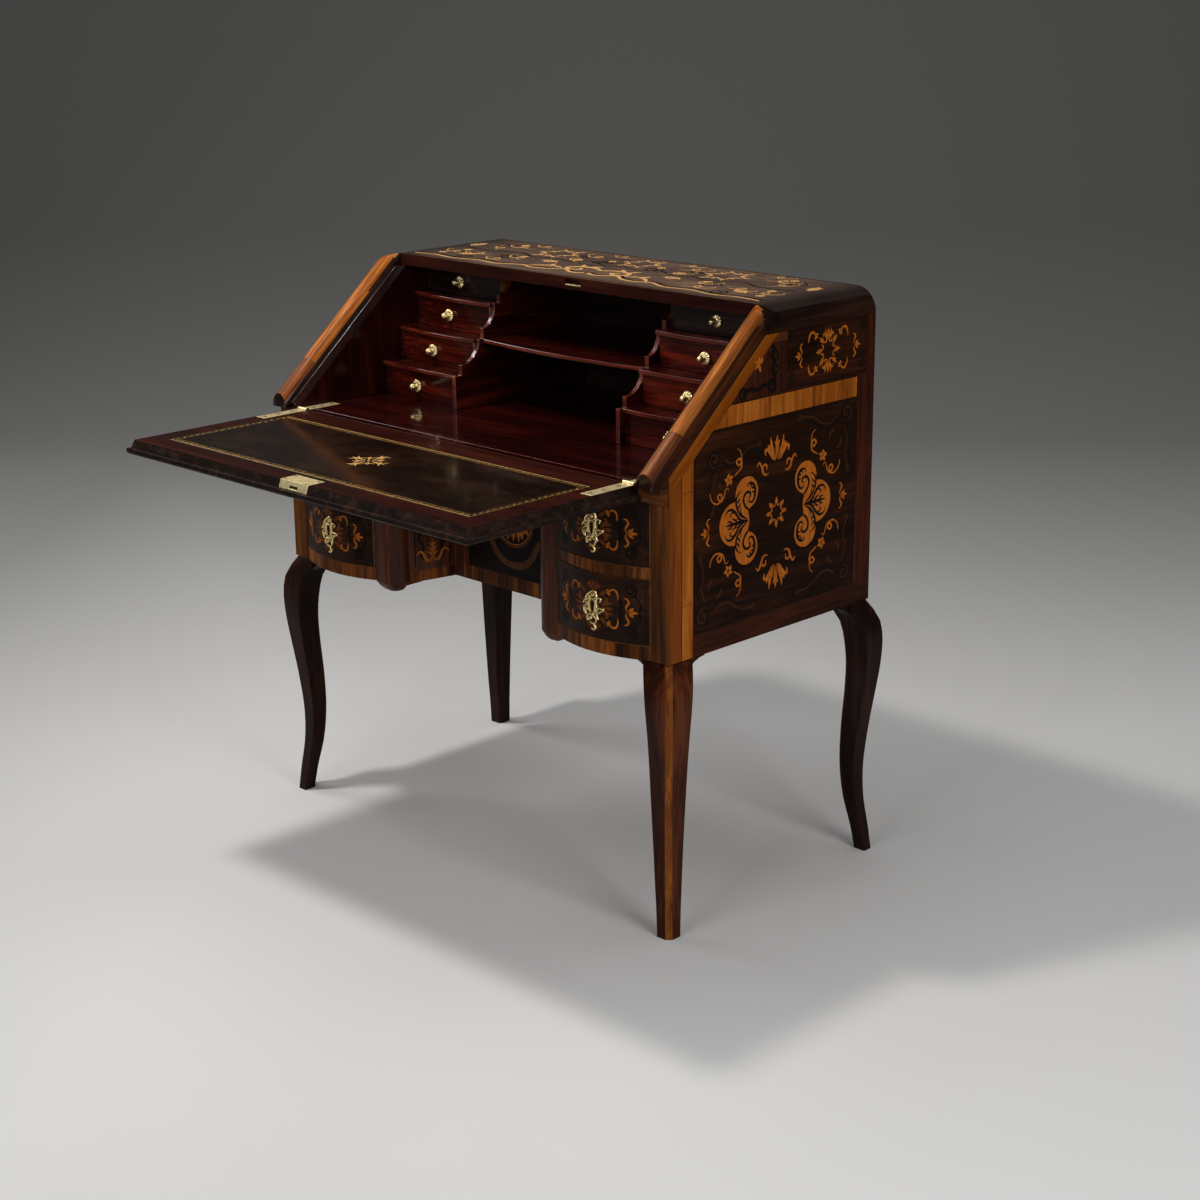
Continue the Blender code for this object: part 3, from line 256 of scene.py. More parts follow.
FINISHES = {
    "field": wood("field_rosewood", FIELD, "Y", 1.2, 0.6, gloss=0.03),
    "field_x": wood("field_rosewood_x", FIELD, "X", 1.2, 0.6, gloss=0.08),
    # The top darkens towards its left and right ends: painted shade.
    "top": wood("top_rosewood", ((50, 35, 27), (90, 66, 51), (122, 94, 72)), "X", 1.3, 0.5, coat=0.25, gloss=0.35,
                ends=(0.36, 0.452)),
    "edge": wood("top_edge", ((13, 6, 4), (28, 14, 9), (48, 26, 17)), "Y", figure=0.5),
    "stile": wood("red_stile", STILE, "Z", figure=0.4),
    "rail": wood("red_rail", STILE, "Y", figure=0.4),
    "post": wood("post_walnut", ((46, 22, 8), (86, 47, 18), (124, 74, 33)), "Z"),
    # Both lengths of the roll darken towards their outer side as painted shade.
    "roll": wood("roll_walnut", ((86, 40, 9), (150, 82, 24), (210, 134, 60)), ALONG_SLANT, 0.8, 0.4, 0.5, gloss=0.06,
                 ends=ROLL_PAINTED_SHADE_SPAN),
    "roll_low": wood("roll_walnut_low", ((66, 29, 7), (122, 62, 18), (180, 112, 52)), NEAR_SLANT, 0.7, 0.4, 0.5, 0.05,
                     0.3, gloss=0.1, ends=ROLL_PAINTED_SHADE_SPAN),
    # A darker copy of the roll for its outer flank: painted shade.
    "roll_flank": wood("roll_flank", ((22, 8, 2), (48, 18, 4), (78, 36, 10)), ALONG_SLANT, 0.8, 0.4, 0.5),
    "roll_end": wood("roll_end", ((11, 6, 4), (24, 13, 9), (40, 23, 16)), "Y", rough=0.7, coat=0.0, gloss=0.02),
    "nose": wood("roll_nose", ((15, 8, 5), (34, 18, 10), (64, 35, 19)), coat=0.4),
    "mahogany": wood("mahogany", RED, coat=0.7, coat_rough=0.07, rough=0.3),
    "mahogany_y": wood("mahogany_y", ((14, 3, 3), (40, 8, 6), (84, 26, 11)), "Y", rough=0.3, coat=0.6,
                       coat_rough=0.07),
    "mahogany_z": wood("mahogany_z", BED, "Z", coat=0.25, coat_rough=0.12, rough=0.34),
    "bed": wood("mahogany_bed", BED, size=1.6, coat=0.7, coat_rough=0.06, rough=0.3),
    "shade": wood("mahogany_shade", ((15, 9, 8), (31, 20, 18), (50, 34, 30)), coat=0.8, coat_rough=0.08),
    # A lighter copy of the mahogany with a clear coat for nosings and arrises: a painted highlight along the rounded
    # edges.
    "nosing": wood("mahogany_nosing_highlight", ((38, 8, 5), (80, 22, 11), (128, 48, 22)), rough=0.28, coat=1.0,
                   coat_rough=0.06, gloss=0.35),
    "frame": wood("fall_frame", ((23, 8, 6), (44, 16, 11), (68, 28, 17)), size=1.6, coat=0.15),
    "rail_walnut": wood("rail_walnut", ((42, 19, 8), (84, 45, 19), (120, 71, 33))),
    "lip": wood("fall_lip", ((9, 5, 4), (22, 12, 8), (42, 24, 16)), rough=0.5, coat=0.0, gloss=0.1, wear=(56, 34, 23)),
    "pilaster": wood("pilaster_walnut", ((34, 14, 8), (68, 33, 19), (104, 57, 33)), "Z", coat=0.12, gloss=0.08),
    # The legs' walnut in a lit copy and a darker shaded copy: painted light and shade.
    "leg": wood("leg_walnut_lit", ((24, 9, 4), (54, 24, 11), (92, 46, 22)), "Z", coat=0.08, coat_rough=0.07),
    "leg_walnut_shaded": wood("leg_walnut_shaded", ((10, 5, 3), (27, 12, 8), (54, 28, 17)), "Z", coat=0.08, coat_rough=0.07),
    "cross": wood("cross_band", ((34, 17, 7), (76, 40, 15), (130, 74, 30)), "Z", stripes=0.7, contrast=1.6),
    "box": wood("drawer_oak", ((96, 62, 34), (136, 94, 56), (166, 122, 78)), "Y", rough=0.6, coat=0.0),
    "back": wood("back_pine", ((58, 36, 20), (92, 60, 34), (124, 86, 52)), "Z", 2, rough=0.65, coat=0.0),
    "ebony": wood("ebony_ground", ((8, 6, 5), (16, 11, 9), (28, 20, 14))),
    "worn": wood("worn_arris", ((24, 12, 7), (48, 26, 14), (84, 52, 32)), rough=0.55, coat=0.0, wear=(82, 51, 30)),
    "satin": wood("satinwood", SATIN, "Z", 1.3, stripes=0.55, contrast=1.4),
    "satin_x": wood("satinwood_x", SATIN, "X", 1.3, stripes=0.2),
    "satin_y": wood("satinwood_y", SATIN, "Y", 1.3, stripes=0.2),
    "satin_slant": wood("satinwood_slant", ((86, 39, 3), (120, 60, 6), (150, 84, 18)), ALONG_SLANT, 1.2),
    "ebony_line": wood("ebony_line", ((9, 6, 5), (16, 10, 8), (26, 17, 13))),
    "band": wood("panel_band", ((42, 19, 6), (70, 35, 12), (98, 53, 20)), "Y", 1.2),
    "orange": wood("post_band", ((84, 40, 7), (116, 58, 12), (142, 78, 25)), "Z", 1.2),
    "strip": wood("leg_strip", ((84, 42, 15), (128, 72, 28), (168, 108, 54)), "Z", 1.2, contrast=1.4),
    "amber": marquetry("amber_inlay", (144, 72, 15), (182, 103, 30), (52, 20, 5)),
    "umber": marquetry("umber_inlay", (86, 42, 13), (116, 62, 23), (34, 14, 5)),
    "ghost": marquetry("ghost_inlay", (44, 23, 10), (62, 35, 16), (26, 13, 6)),
    "pale": marquetry("pale_inlay", (196, 142, 82), (224, 178, 118), (96, 54, 24), "X"),
    "black": marquetry("black_inlay", (9, 6, 5), (17, 12, 9), (6, 4, 4)),
    "brown": marquetry("brown_inlay", (58, 33, 15), (84, 50, 25), (30, 15, 8)),
    "brass": brass("brass", (248, 226, 168), (200, 166, 98), 0.32, 0.65),
    "plate": brass("pale_brass", (248, 230, 178), (214, 188, 128), 0.46, 0.4),
    "old_brass": brass("old_brass", (158, 126, 70), (96, 70, 34), 0.42, 0.7),
    "steel": brass("dark_bolt", (76, 68, 58), (42, 36, 30), 0.3, 0.6),
    "leather": hide_leather("writing_leather", (18, 8, 4), (46, 26, 14)),
    "gold": gilding("gold_tooling", (236, 184, 106), (44, 28, 16)),
}


# Pieces that stand for CAD nodes

def piece_of(name, shape, finishes, body, smooth=None):
    """A finished object from a bmesh, riding on a body; finishes are names with spaces between them."""
    mesh = bpy.data.meshes.new(name)
    shape.to_mesh(mesh)
    shape.free()
    for key in finishes.split():
        mesh.materials.append(FINISHES[key])
    piece = bpy.data.objects.new(name, mesh)
    bpy.context.scene.collection.objects.link(piece)
    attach(piece, body)
    if smooth:
        mesh.shade_smooth()
        mesh.set_sharp_from_angle(angle=math.radians(smooth))
    return piece


WELD, LEVEL, ARRIS = 2e-5, math.radians(0.4), math.radians(40)


def dress(node, finishes, zone=None, bevel=0.8, segments=2, worn=None, edit=None, angle=34):
    """The node's own shape with softened arrises, its faces shared out among finishes by zone(normal, place)."""
    shape = bmesh.new()
    shape.from_mesh(NODES[node].data)
    bmesh.ops.remove_doubles(shape, verts=shape.verts, dist=WELD)
    bmesh.ops.dissolve_limit(shape, angle_limit=LEVEL, verts=shape.verts, edges=shape.edges)
    shape.normal_update()
    if edit:
        edit(shape)
        shape.normal_update()
    for face in shape.faces:
        face.material_index = zone(face.normal, face.calc_center_median()) if zone else 0
    # The worn finish goes on the softened arrises: real wear on the top and the fall, a painted highlight on the
    # nosings, linings and bed, and painted shade on drawer arrises in their gaps.
    last = len(finishes.split()) if worn else -1
    piece = piece_of(node + ".dressed", shape, f"{finishes} {worn or ''}", NODES[node]["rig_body"], angle)
    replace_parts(piece, node)
    if bevel:
        soft = piece.modifiers.new("arris", "BEVEL")
        soft.width = bevel * MM
        soft.segments = segments
        soft.limit_method = "ANGLE"
        soft.angle_limit = ARRIS
        soft.material = last
        soft.use_clamp_overlap = True
        even = piece.modifiers.new("shading", "WEIGHTED_NORMAL")
        even.keep_sharp = True


def loft(shape, rings, closed=False):
    """Walls from ring to ring of vertices, with a cap at each end unless the last ring meets the first."""
    pairs = list(zip(rings, rings[1:]))
    if closed:
        pairs.append((rings[-1], rings[0]))
    else:
        shape.faces.new(rings[0][::-1])
        shape.faces.new(rings[-1])
    for low, high in pairs:
        for k in range(len(low)):
            n = (k + 1) % len(low)
            shape.faces.new((low[k], low[n], high[n], high[k]))


def lofted(name, shells, finish, body):
    """A smooth piece of one or more shells, each lofted through rings of points."""
    shape = bmesh.new()
    for rings in shells:
        loft(shape, [[shape.verts.new(point) for point in ring] for ring in rings])
    bmesh.ops.recalc_face_normals(shape, faces=shape.faces)
    return piece_of(name, shape, finish, body, 40)


# A knob's profile in millimetres: radius, height and how deep its petals are cut there
KNOB = (
    (10.6, 0.0, 0.0), (11.2, 0.5, 1.0), (11.0, 1.3, 1.0), (9.4, 2.2, 1.0), (7.2, 2.8, 0.9), (5.4, 2.9, 0.4),
    (4.6, 3.4, 0.0), (3.3, 4.0, 0.0), (2.9, 5.0, 0.0), (3.4, 5.7, 0.0), (4.9, 7.2, 0.0), (5.8, 9.0, 0.0),
    (6.1, 10.8, 0.0), (5.8, 12.7, 0.0), (4.8, 14.9, 0.0), (3.2, 16.6, 0.0), (1.4, 17.4, 0.0),
)
PETALS, KNOB_STEPS, PETAL_WIDTH, PETAL_DEPTH = 14, 84, 0.035, 0.45


def inner_knob(node):
    """A ball knob on a petalled rose, turned about its pull direction."""
    low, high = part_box(node)
    rings = []
    for radius, height, cut in KNOB:
        rings.append([])
        for k in range(KNOB_STEPS):
            turn = 2 * math.pi * k / KNOB_STEPS
            petal = cut * math.cos(PETALS * turn)
            out = radius * (1 + PETAL_WIDTH * petal) * MM
            depth = max(height + PETAL_DEPTH * petal, 0.0) * MM
            x, z = (low.x + high.x) / 2 + out * math.cos(turn), (low.z + high.z) / 2 + out * math.sin(turn)
            rings[-1].append((x, high.y - depth, z))
    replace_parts(lofted(node + ".dressed", [rings], "brass", NODES[node]["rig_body"]), node)


def outer_face(side):
    return lambda normal, place: 0 if normal.x * side > 0.9 else 1 if normal.y < -0.5 else 2


def outer_arris(side, depth):
    """1 on the narrow flat that runs down a leg's outer corner."""
    corner = Vector((side, depth)).normalized()

    def zone(normal, place):
        level = Vector((normal.x, normal.y))
        return 1 if abs(normal.z) < 0.9 and level.length > 0 and level.normalized().dot(corner) > 0.97 else 0
    return zone


def front_of(depth):
    """0 on what faces forward near a front, 1 elsewhere."""
    return lambda normal, place: 0 if normal.y < -0.4 and place.y - BACK_Y < depth else 1


def front_edges(normal, place):
    return 1 if normal.y < -0.3 else 0


PILASTER_RADIUS, PILASTER_DROP, FOOT_SHARE = 0.0265, 0.0165, 0.45
PILASTER_X, PILASTER_Y = PEDESTAL_INNER - 0.0002 - PILASTER_RADIUS, FRONT_Y - 0.0094 + PILASTER_RADIUS


def taper_drop(side):
    """Draws the rounded foot of a pilaster in to a cone."""
    def edit(shape):
        for vertex in shape.verts:
            deep = min((LEG_HEIGHT - vertex.co.z) / PILASTER_DROP, 1.0)
            if deep > 1e-4:
                full = FOOT_SHARE + (1 - FOOT_SHARE) * math.sqrt(1 - deep * deep)
                slim = FOOT_SHARE + (1 - FOOT_SHARE) * (1 - deep) ** 0.6
                axis = Vector((side * PILASTER_X, PILASTER_Y + BACK_Y, vertex.co.z))
                vertex.co = axis + (vertex.co - axis) * (slim / full)
    return edit


EAR_START, EAR_END = Vector((0.1865, -0.494)), Vector((0.1690, -0.4575))
EAR_DEEP, EAR_THIN, EAR_THICK, EAR_STEPS, EAR_GAP = 0.0105, 0.0003, 0.007, 14, 0.0001


def drop_ear(word, side):
    """A bracket that leads a pilaster's drop back into the knee recess."""
    run = EAR_END - EAR_START
    out = Vector((run.y, -run.x)).normalized() * EAR_THICK
    rings = []
    for k in range(EAR_STEPS + 1):
        t = k / EAR_STEPS
        deep = EAR_THIN + EAR_DEEP * (1 - t) * (1 - 0.35 * math.sin(math.pi * t))
        near = EAR_START + run * t
        far = near + out
        corners = ((near, EAR_GAP), (near, deep), (far, deep), (far, EAR_GAP))
        rings.append([(side * place.x, place.y + BACK_Y, LEG_HEIGHT - drop) for place, drop in corners])
    lofted(f"{word}_drop_ear", [rings], "pilaster", "case")


# The slant rolls: the seam between two lengths, the round of the nose, and how the upper end meets the top
SEAM, SEAM_WIDTH, NOSE_ROUND = 0.088, 0.0009, 0.006
TOP_ROUND, ROLL_END, ROLL_SKEW, SKIN = 0.042, -0.2575, 0.7, 0.0003
SLICES, SLICE, STRIPS, STRIP, CREASE, EASINGS = 21, 2 * MM, 7, 5 * MM, 0.004, 6


def up_slant(place):
    return (place.y - BACK_Y - HINGE_Y) * COS + (place.z - BED_HEIGHT) * SIN


def cut_through(shape, place, normal):
    everything = list(shape.verts) + list(shape.edges) + list(shape.faces)
    bmesh.ops.bisect_plane(shape, geom=everything, plane_co=place, plane_no=normal)


def part_roll(shape):
    """Cuts a roll where two lengths butt together, fits its upper end to the top's round and eases its nose."""
    side = math.copysign(1, next(iter(shape.verts)).co.x)
    for k in range(SLICES):
        cut_through(shape, (0, 0, TOP_HEIGHT - (k + 1) * SLICE), (0, 0, 1))
    for k in range(STRIPS):
        cut_through(shape, (side * (SIDE_INNER + (k + 1) * STRIP), 0, 0), (1, 0, 0))
    cut_through(shape, (side * SIDE_INNER, BACK_Y + ROLL_END, 0), (side * ROLL_SKEW, 1, 0))
    for vertex in shape.verts:
        x, z = abs(vertex.co.x) - HALF_WIDTH + TOP_ROUND, vertex.co.z - TOP_HEIGHT + TOP_ROUND
        far = math.hypot(x, z) if x > 0 and z > 0 else 0.0
        if far > TOP_ROUND - SKIN:
            pull = (TOP_ROUND - SKIN) / far
            vertex.co.z += z * (pull - 1)
            vertex.co.x += math.copysign(x * (pull - 1), vertex.co.x)
    shape.normal_update()
    crease = []
    for vertex in shape.verts:
        normals = [face.normal for face in vertex.link_faces]
        free = all(n.y < 0.9 and n.z > -0.3 and abs(n.x) < 0.999 for n in normals)
        if free and vertex.co.z > TOP_HEIGHT - TOP_ROUND - CREASE:
            crease.append(vertex)
    for _ in range(EASINGS):
        bmesh.ops.smooth_vert(shape, verts=crease, factor=0.5, use_axis_x=True, use_axis_y=True, use_axis_z=True)
    for along in (SEAM, SEAM + SEAM_WIDTH):
        cut_through(shape, (0, BACK_Y + HINGE_Y + along * COS, BED_HEIGHT + along * SIN), (0, COS, SIN))
    shape.normal_update()
    rim = []
    for edge in shape.edges:
        caps = [face.normal.y < -0.98 for face in edge.link_faces]
        if sum(caps) == 1 and edge.link_faces[caps.index(False)].normal.z > -0.5:
            rim.append(edge)
    bmesh.ops.bevel(shape, geom=rim, offset=NOSE_ROUND, segments=5, profile=0.5, affect="EDGES", clamp_overlap=True)


def roll_zone(side):
    """Finishes of a roll: 0 upper length, 1 nose, seam and shut flat, 2 lower length, 3 outer flank in a darker copy as
    painted shade, 4 upper end.
    """
    def zone(normal, place):
        along = up_slant(place)
        shut = normal.x * side < -0.9
        if shut or normal.y < -0.95 or normal.z < -0.9 or SEAM < along < SEAM + SEAM_WIDTH:
            return 1
        if place.y - BACK_Y + ROLL_SKEW * (abs(place.x) - SIDE_INNER) > ROLL_END:
            return 4
        if normal.x * side > 0.8:
            return 3
        return 2 if along < SEAM else 0
    return zone


for word, side in SIDES:
    dress(f"{word}_side_panel", "field post rail", outer_face(side))
    dress(f"{word}_slant_roll", "roll nose roll_low roll_flank roll_end", roll_zone(side), bevel=0,
          edit=part_roll, angle=56)
    dress(f"{word}_lining", "mahogany_z ebony", front_edges, 1.4, 3, "nosing")
    dress(f"{word}_pilaster", "pilaster", edit=taper_drop(side))
    drop_ear(word, side)
    dress(f"{word}_recess_side", "pilaster")
    dress(f"{word}_drawer_frame", "cross box", front_of(FRONT_Y + 0.004), 0.6)
    dress(f"{word}_bank_frame", "mahogany_y nosing", front_edges, 2.6, 4, "nosing")
    for node in ("bed_hinge_leaf", "fall_hinge_leaf"):
        dress(f"{word}_{node}", "plate", bevel=0.3)
    dress(f"{word}_hinge_pin", "steel", bevel=0.3)
    for place, depth in (("front", -1), ("back", 1)):
        # The front right leg takes the lit copy, the other three the shaded copy: painted light and shade.
        leg = "leg" if (place, word) == ("front", "right") else "leg_walnut_shaded"
        dress(f"{place}_{word}_leg", leg + " strip", outer_arris(side, depth), 1.2, 3, angle=30)
    for level in (1, 2, 3, 4):
        node = f"{word}_inner_drawer_{level}"
        front = front_of(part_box(node)[0].y - BACK_Y + 0.024)
        # The top row's fronts take a darker, greyer copy of the mahogany, painted shade and a painted reflection under
        # the top; every inner drawer's arrises take it as painted shade in the gaps.
        dress(node, "shade box" if level == 4 else "mahogany box", front, 0.7, worn="shade")
        inner_knob(f"{word}_inner_knob_{level}")
    for height, _ in DRAWER_ROWS:
        # The pedestal drawers' arrises take the dark ebony finish: painted shade in the gaps.
        dress(f"{height}_{word}_drawer", "field_x box", front_of(FRONT_Y + 0.002), 0.7, worn="ebony")


TOP_EDGE, FALL_EDGE = 0.014, 0.004


def top_zone(normal, place):
    if normal.z > 0.67 and place.z > TOP_HEIGHT - TOP_EDGE:
        return 0
    return 2 if normal.y < -0.9 else 1


def fall_zone(normal, place):
    return 1 if normal.z < -0.9 else 0 if normal.z > 0.9 and place.z > BED_HEIGHT - FALL_EDGE else 2


def split_faces(shape):
    """Triangles instead of large notched faces, so that softening the arrises cannot fold them."""
    bmesh.ops.triangulate(shape, faces=[face for face in shape.faces if len(face.verts) > 4])


def lower_top(shape):
    """Makes room for the inlay under the top's height."""
    for vertex in shape.verts:
        if vertex.co.z > TOP_HEIGHT - 1e-5:
            vertex.co.z = TOP_HEIGHT - SKIN


dress("top_board", "top edge frame", top_zone, 0.7, worn="worn", edit=lower_top)
dress("strike_plate", "plate", bevel=0.2)
# The back board's face towards the front takes the dark shade finish: painted shade at the back of the cavity.
dress("back_board", "back shade", front_edges)
dress("writing_bed", "bed", worn="nosing")
dress("front_rail", "rail_walnut bed", lambda normal, place: 1 if normal.z > 0.9 else 0, 1.0)
dress("bottom_board", "cross box", lambda normal, place: 0 if normal.y < -0.4 else 1, 0.7)
dress("centre_shelf", "bed nosing", front_edges, 2.2, 3)
dress("centre_drawer", "ebony box", front_of(RECESS_Y + 0.01), 0.7)
dress("fall_board", "frame field_x lip", fall_zone, worn="worn", edit=split_faces)
dress("leather_panel", "leather", bevel=0.4)
dress("fall_lock", "plate", bevel=0.4)
dress("fall_lock_bolt", "steel", bevel=0.3)


# Inlay: ribbons laid on a surface

FLAT = ((-1.0, 0.0), (1.0, 0.0))
DOMED = ((-1.0, 0.0), (-0.8, 0.55), (-0.4, 0.92), (0.0, 1.0), (0.4, 0.92), (0.8, 0.55), (1.0, 0.0))
LIFT_STEP, LIFT_CYCLE, CLIMB = 0.0025 * MM, 20, 0.012 * MM
THINNEST, FULL_CROWN = 0.1 * MM, 1.2 * MM


class Inlay:
    """Thin solids laid on one surface, gathered into one mesh; the surface is a function of (u, v, height)."""

    def __init__(self, surface, lift, profile=FLAT, rise=0.0, sink=0.06):
        self.shape = bmesh.new()
        self.burn = self.shape.verts.layers.float.new("burn")
        self.surface = surface
        self.lift, self.rise, self.sink = lift * MM, rise * MM, sink * MM
        self.profile = profile
        self.laid = 0

    def next_lift(self):
        """Overlapping pieces differ a little in height, so that no two faces coincide."""
        self.laid += 1
        return self.lift + self.laid % LIFT_CYCLE * LIFT_STEP

    def vertex(self, u, v, height, burn=0.0):
        made = self.shape.verts.new(self.surface(u, v, height))
        made[self.burn] = burn
        return made

    def ribbon(self, spine, width, burn=0.0, closed=False):
        """A solid along a line of (u, v) points; width and burn may be functions of the share along it."""
        count = len(spine)
        lift = self.next_lift()
        rings = []
        for k, (u, v) in enumerate(spine):
            before = spine[k - 1] if k or closed else spine[k]
            after = spine[(k + 1) % count] if k + 1 < count or closed else spine[k]
            du, dv = after[0] - before[0], after[1] - before[1]
            size = math.hypot(du, dv) or 1.0
            share = k / (count if closed else count - 1)
            half = max((width(share) if callable(width) else width) / 2, THINNEST)
            mark = burn(share) if callable(burn) else burn
            crown = self.rise * min(1.0, half / FULL_CROWN)
            section = [(off, lift + CLIMB * share + crown * up) for off, up in self.profile]
            section += [(1.0, -self.sink), (-1.0, -self.sink)]
            rings.append([self.vertex(u - dv / size * off * half, v + du / size * off * half, height, mark)
                          for off, height in section])
        loft(self.shape, rings, closed)

    def slab(self, *corners):
        """A flat many-sided piece of veneer."""
        lift = self.next_lift()
        top = [self.vertex(u, v, lift) for u, v in corners]
        low = [self.vertex(u, v, -self.sink) for u, v in corners]
        loft(self.shape, [low, top])

    def oblong(self, u0, v0, u1, v1):
        self.slab((u0, v0), (u1, v0), (u1, v1), (u0, v1))

    def border(self, u0, v0, u1, v1, width):
        self.ribbon([(u0, v0), (u1, v0), (u1, v1), (u0, v1)], width, closed=True)

    def finish(self, name, finish, body, slot, smooth=None):
        bmesh.ops.recalc_face_normals(self.shape, faces=self.shape.faces)
        piece_of(name, self.shape, finish, body, smooth)


def through(points, steps=6):
    """A smooth line through points."""
    line = []
    path = [points[0], *points, points[-1]]
    for p, a, b, q in zip(path, path[1:], path[2:], path[3:]):
        for k in range(steps):
            t = k / steps
            line.append(tuple(
                0.5 * (2 * a[i] + (b[i] - p[i]) * t + (2 * p[i] - 5 * a[i] + 4 * b[i] - q[i]) * t * t
                       + (3 * a[i] - p[i] - 3 * b[i] + q[i]) * t ** 3) for i in (0, 1)))
    line.append(tuple(points[-1]))
    return line


def swell(width, start, end):
    """Width along a stroke: start and end shares of the fullest width."""
    return lambda t: width * (start * (1 - t) + end * t + (1 - start * (1 - t) - end * t) * math.sin(math.pi * t))


def fade(strength, reach=0.4):
    """Sand shading that dies away along a stroke."""
    return lambda t: strength * max(0.0, 1 - t / reach)


class Pen:
    """Draws in millimetres on inlay layers, from a place, turn and size on their surface."""

    def __init__(self, layers, u=0.0, v=0.0, across=(MM, 0.0), up=(0.0, MM), size=1.0):
        self.layers, self.origin, self.across, self.up, self.size = layers, (u, v), across, up, size

    def map(self, point):
        x, y = point
        return tuple(self.origin[i] + x * self.across[i] + y * self.up[i] for i in (0, 1))

    def at(self, x, y, turn=0.0, size=1.0, flip=1):
        c, s = math.cos(math.radians(turn)) * size, math.sin(math.radians(turn)) * size
        across = tuple(flip * (c * self.across[i] + s * self.up[i]) for i in (0, 1))
        up = tuple(c * self.up[i] - s * self.across[i] for i in (0, 1))
        return Pen(self.layers, *self.map((x, y)), across, up, self.size * size)

    def halves(self):
        """This pen and its mirror image, each with its way."""
        return [(way, self.at(0, 0, flip=way)) for way in (1, -1)]

    def pair(self):
        """This pen and itself upside down."""
        return self, self.at(0, 0, turn=180, flip=-1)

    def line(self, layer, points, width, burn=0.0, closed=False):
        scale = self.size * MM
        full = (lambda t: width(t) * scale) if callable(width) else width * scale
        self.layers[layer].ribbon([self.map(p) for p in points], full, burn, closed)

    def stroke(self, layer, points, width, start=0.35, end=0.15, burn=0.0, steps=5):
        self.line(layer, through(points, steps), swell(width, start, end), burn)

    def leaf(self, layer, x0, y0, x1, y1, width, bend=0.0, burn=0.75, steps=9):
        points = []
        for k in range(steps + 1):
            t = k / steps
            sag = bend * 4 * t * (1 - t)
            points.append((x0 + (x1 - x0) * t + (y1 - y0) * sag, y0 + (y1 - y0) * t - (x1 - x0) * sag))
        self.line(layer, points, lambda t: width * math.sin(math.pi * t ** 0.8) ** 0.75, fade(burn, 1 / 2.2))

    def ray(self, layer, x, y, turn, long, width, bend=0.0, burn=0.75):
        """A leaf of some length that points in a direction."""
        a = math.radians(turn)
        self.leaf(layer, x, y, x + long * math.cos(a), y + long * math.sin(a), width, bend, burn)

    def dot(self, layer, x, y, radius, steps=16, burn=0.0):
        points = [(x - radius * math.cos(math.pi * k / steps), y) for k in range(steps + 1)]
        self.line(layer, points, lambda t: 2 * radius * math.sin(math.pi * t), burn)

    def curl(self, layer, x, y, start, end, from_turn, to_turn, width, steps):
        points = []
        for k in range(steps + 1):
            t = k / steps
            turn = math.radians(from_turn + (to_turn - from_turn) * t)
            radius = start + (end - start) * t
            points.append((x + radius * math.cos(turn), y + radius * math.sin(turn)))
        self.line(layer, points, width)

    def ring(self, layer, x, y, radius, width, steps, wave=0.0, lobes=8):
        points = []
        for k in range(steps):
            turn = 2 * math.pi * k / steps
            r = radius * (1 + wave * math.cos(lobes * turn))
            points.append((x + r * math.cos(turn), y + r * math.sin(turn)))
        self.line(layer, points, width, closed=True)


# Motifs, in millimetres; first the strokes of half a palmette

INNER_LEAF = ((2.5, 0.5), (7.5, 7), (11, 16), (14.5, 27), (16, 37.5))
OUTER_LEAF = ((2, 0), (9, 2), (15.4, 11), (23.3, 18.6), (29, 16.4), (27.5, 8.5))


def palmette(pen, layer="amber"):
    """A flame leaf between curling side leaves, 58 wide and 39 tall, opening upwards."""
    pen.leaf(layer, 0, 0, 0, 39, 8.6)
    for _, half in pen.halves():
        half.leaf(layer, 1, 14, 7, 30, 4.6, -0.12, 0.4)
        half.stroke(layer, INNER_LEAF, 6.2, 0.7, 0.08, fade(0.7))
        half.leaf(layer, 10.5, 15, 17.5, 28, 3.8, 0.1, 0.3)
        half.stroke(layer, OUTER_LEAF, 6.6, 0.6, 0.1, fade(0.7))
        half.leaf(layer, 19, 14, 23.5, 26, 4.2, -0.15, 0.3)


def rosette(pen, radius, stretch=1.0, slim=1.0):
    """A wreath of eight sprigs and eight curls round an open middle."""
    spread = math.degrees(0.42)
    for turn in range(0, 360, 45):
        a, b = math.radians(turn), math.radians(turn + 22.5)
        root = (radius * 0.82 * math.cos(a), radius * 0.82 * math.sin(a) * stretch)
        for n, reach in ((-1, 0.58), (0, 0.85), (1, 0.58)):
            pen.ray("amber", *root, turn + n * spread, radius * reach, radius * 0.34 * slim, 0.15 * n)
        pen.curl("amber", radius * 0.92 * math.cos(b), radius * 0.92 * math.sin(b) * stretch, radius * 0.2 / slim,
                 radius * 0.12, turn + 82.5, turn + 322.5, radius * 0.12, 10)


def flower(pen, layer, radius, petals):
    for k in range(petals):
        pen.ray(layer, 0, 0, 360 * k / petals + math.degrees(0.3), radius, radius * 0.62, 0.1, 0.9)
    pen.dot(layer, 0, 0, radius * 0.22, burn=0.9)


# Strokes of a corner spray, counted from its flower
STEM = ((-19.5, 46.8), (-27.5, 41), (-29.8, 27), (-24, 19.5), (-18, 25.5), (-24, 30.2), (-30, 24), (-28, 13.5),
        (-20.5, 8.5), (-13, 4))
CURL = ((0.8, -17.5), (2.4, -13.3), (7.5, -14.5), (11.5, -25), (18, -31.5), (26, -25.5), (23, -19.5), (16.8, -23),
        (20.5, -32.5), (32, -33.2), (41.5, -25), (44, -14.5))
LITTLE_CURL = ((20, 68.5), (26, 66.8), (33.2, 70.5), (36.6, 80), (43.5, 89.3), (48.8, 83.5))


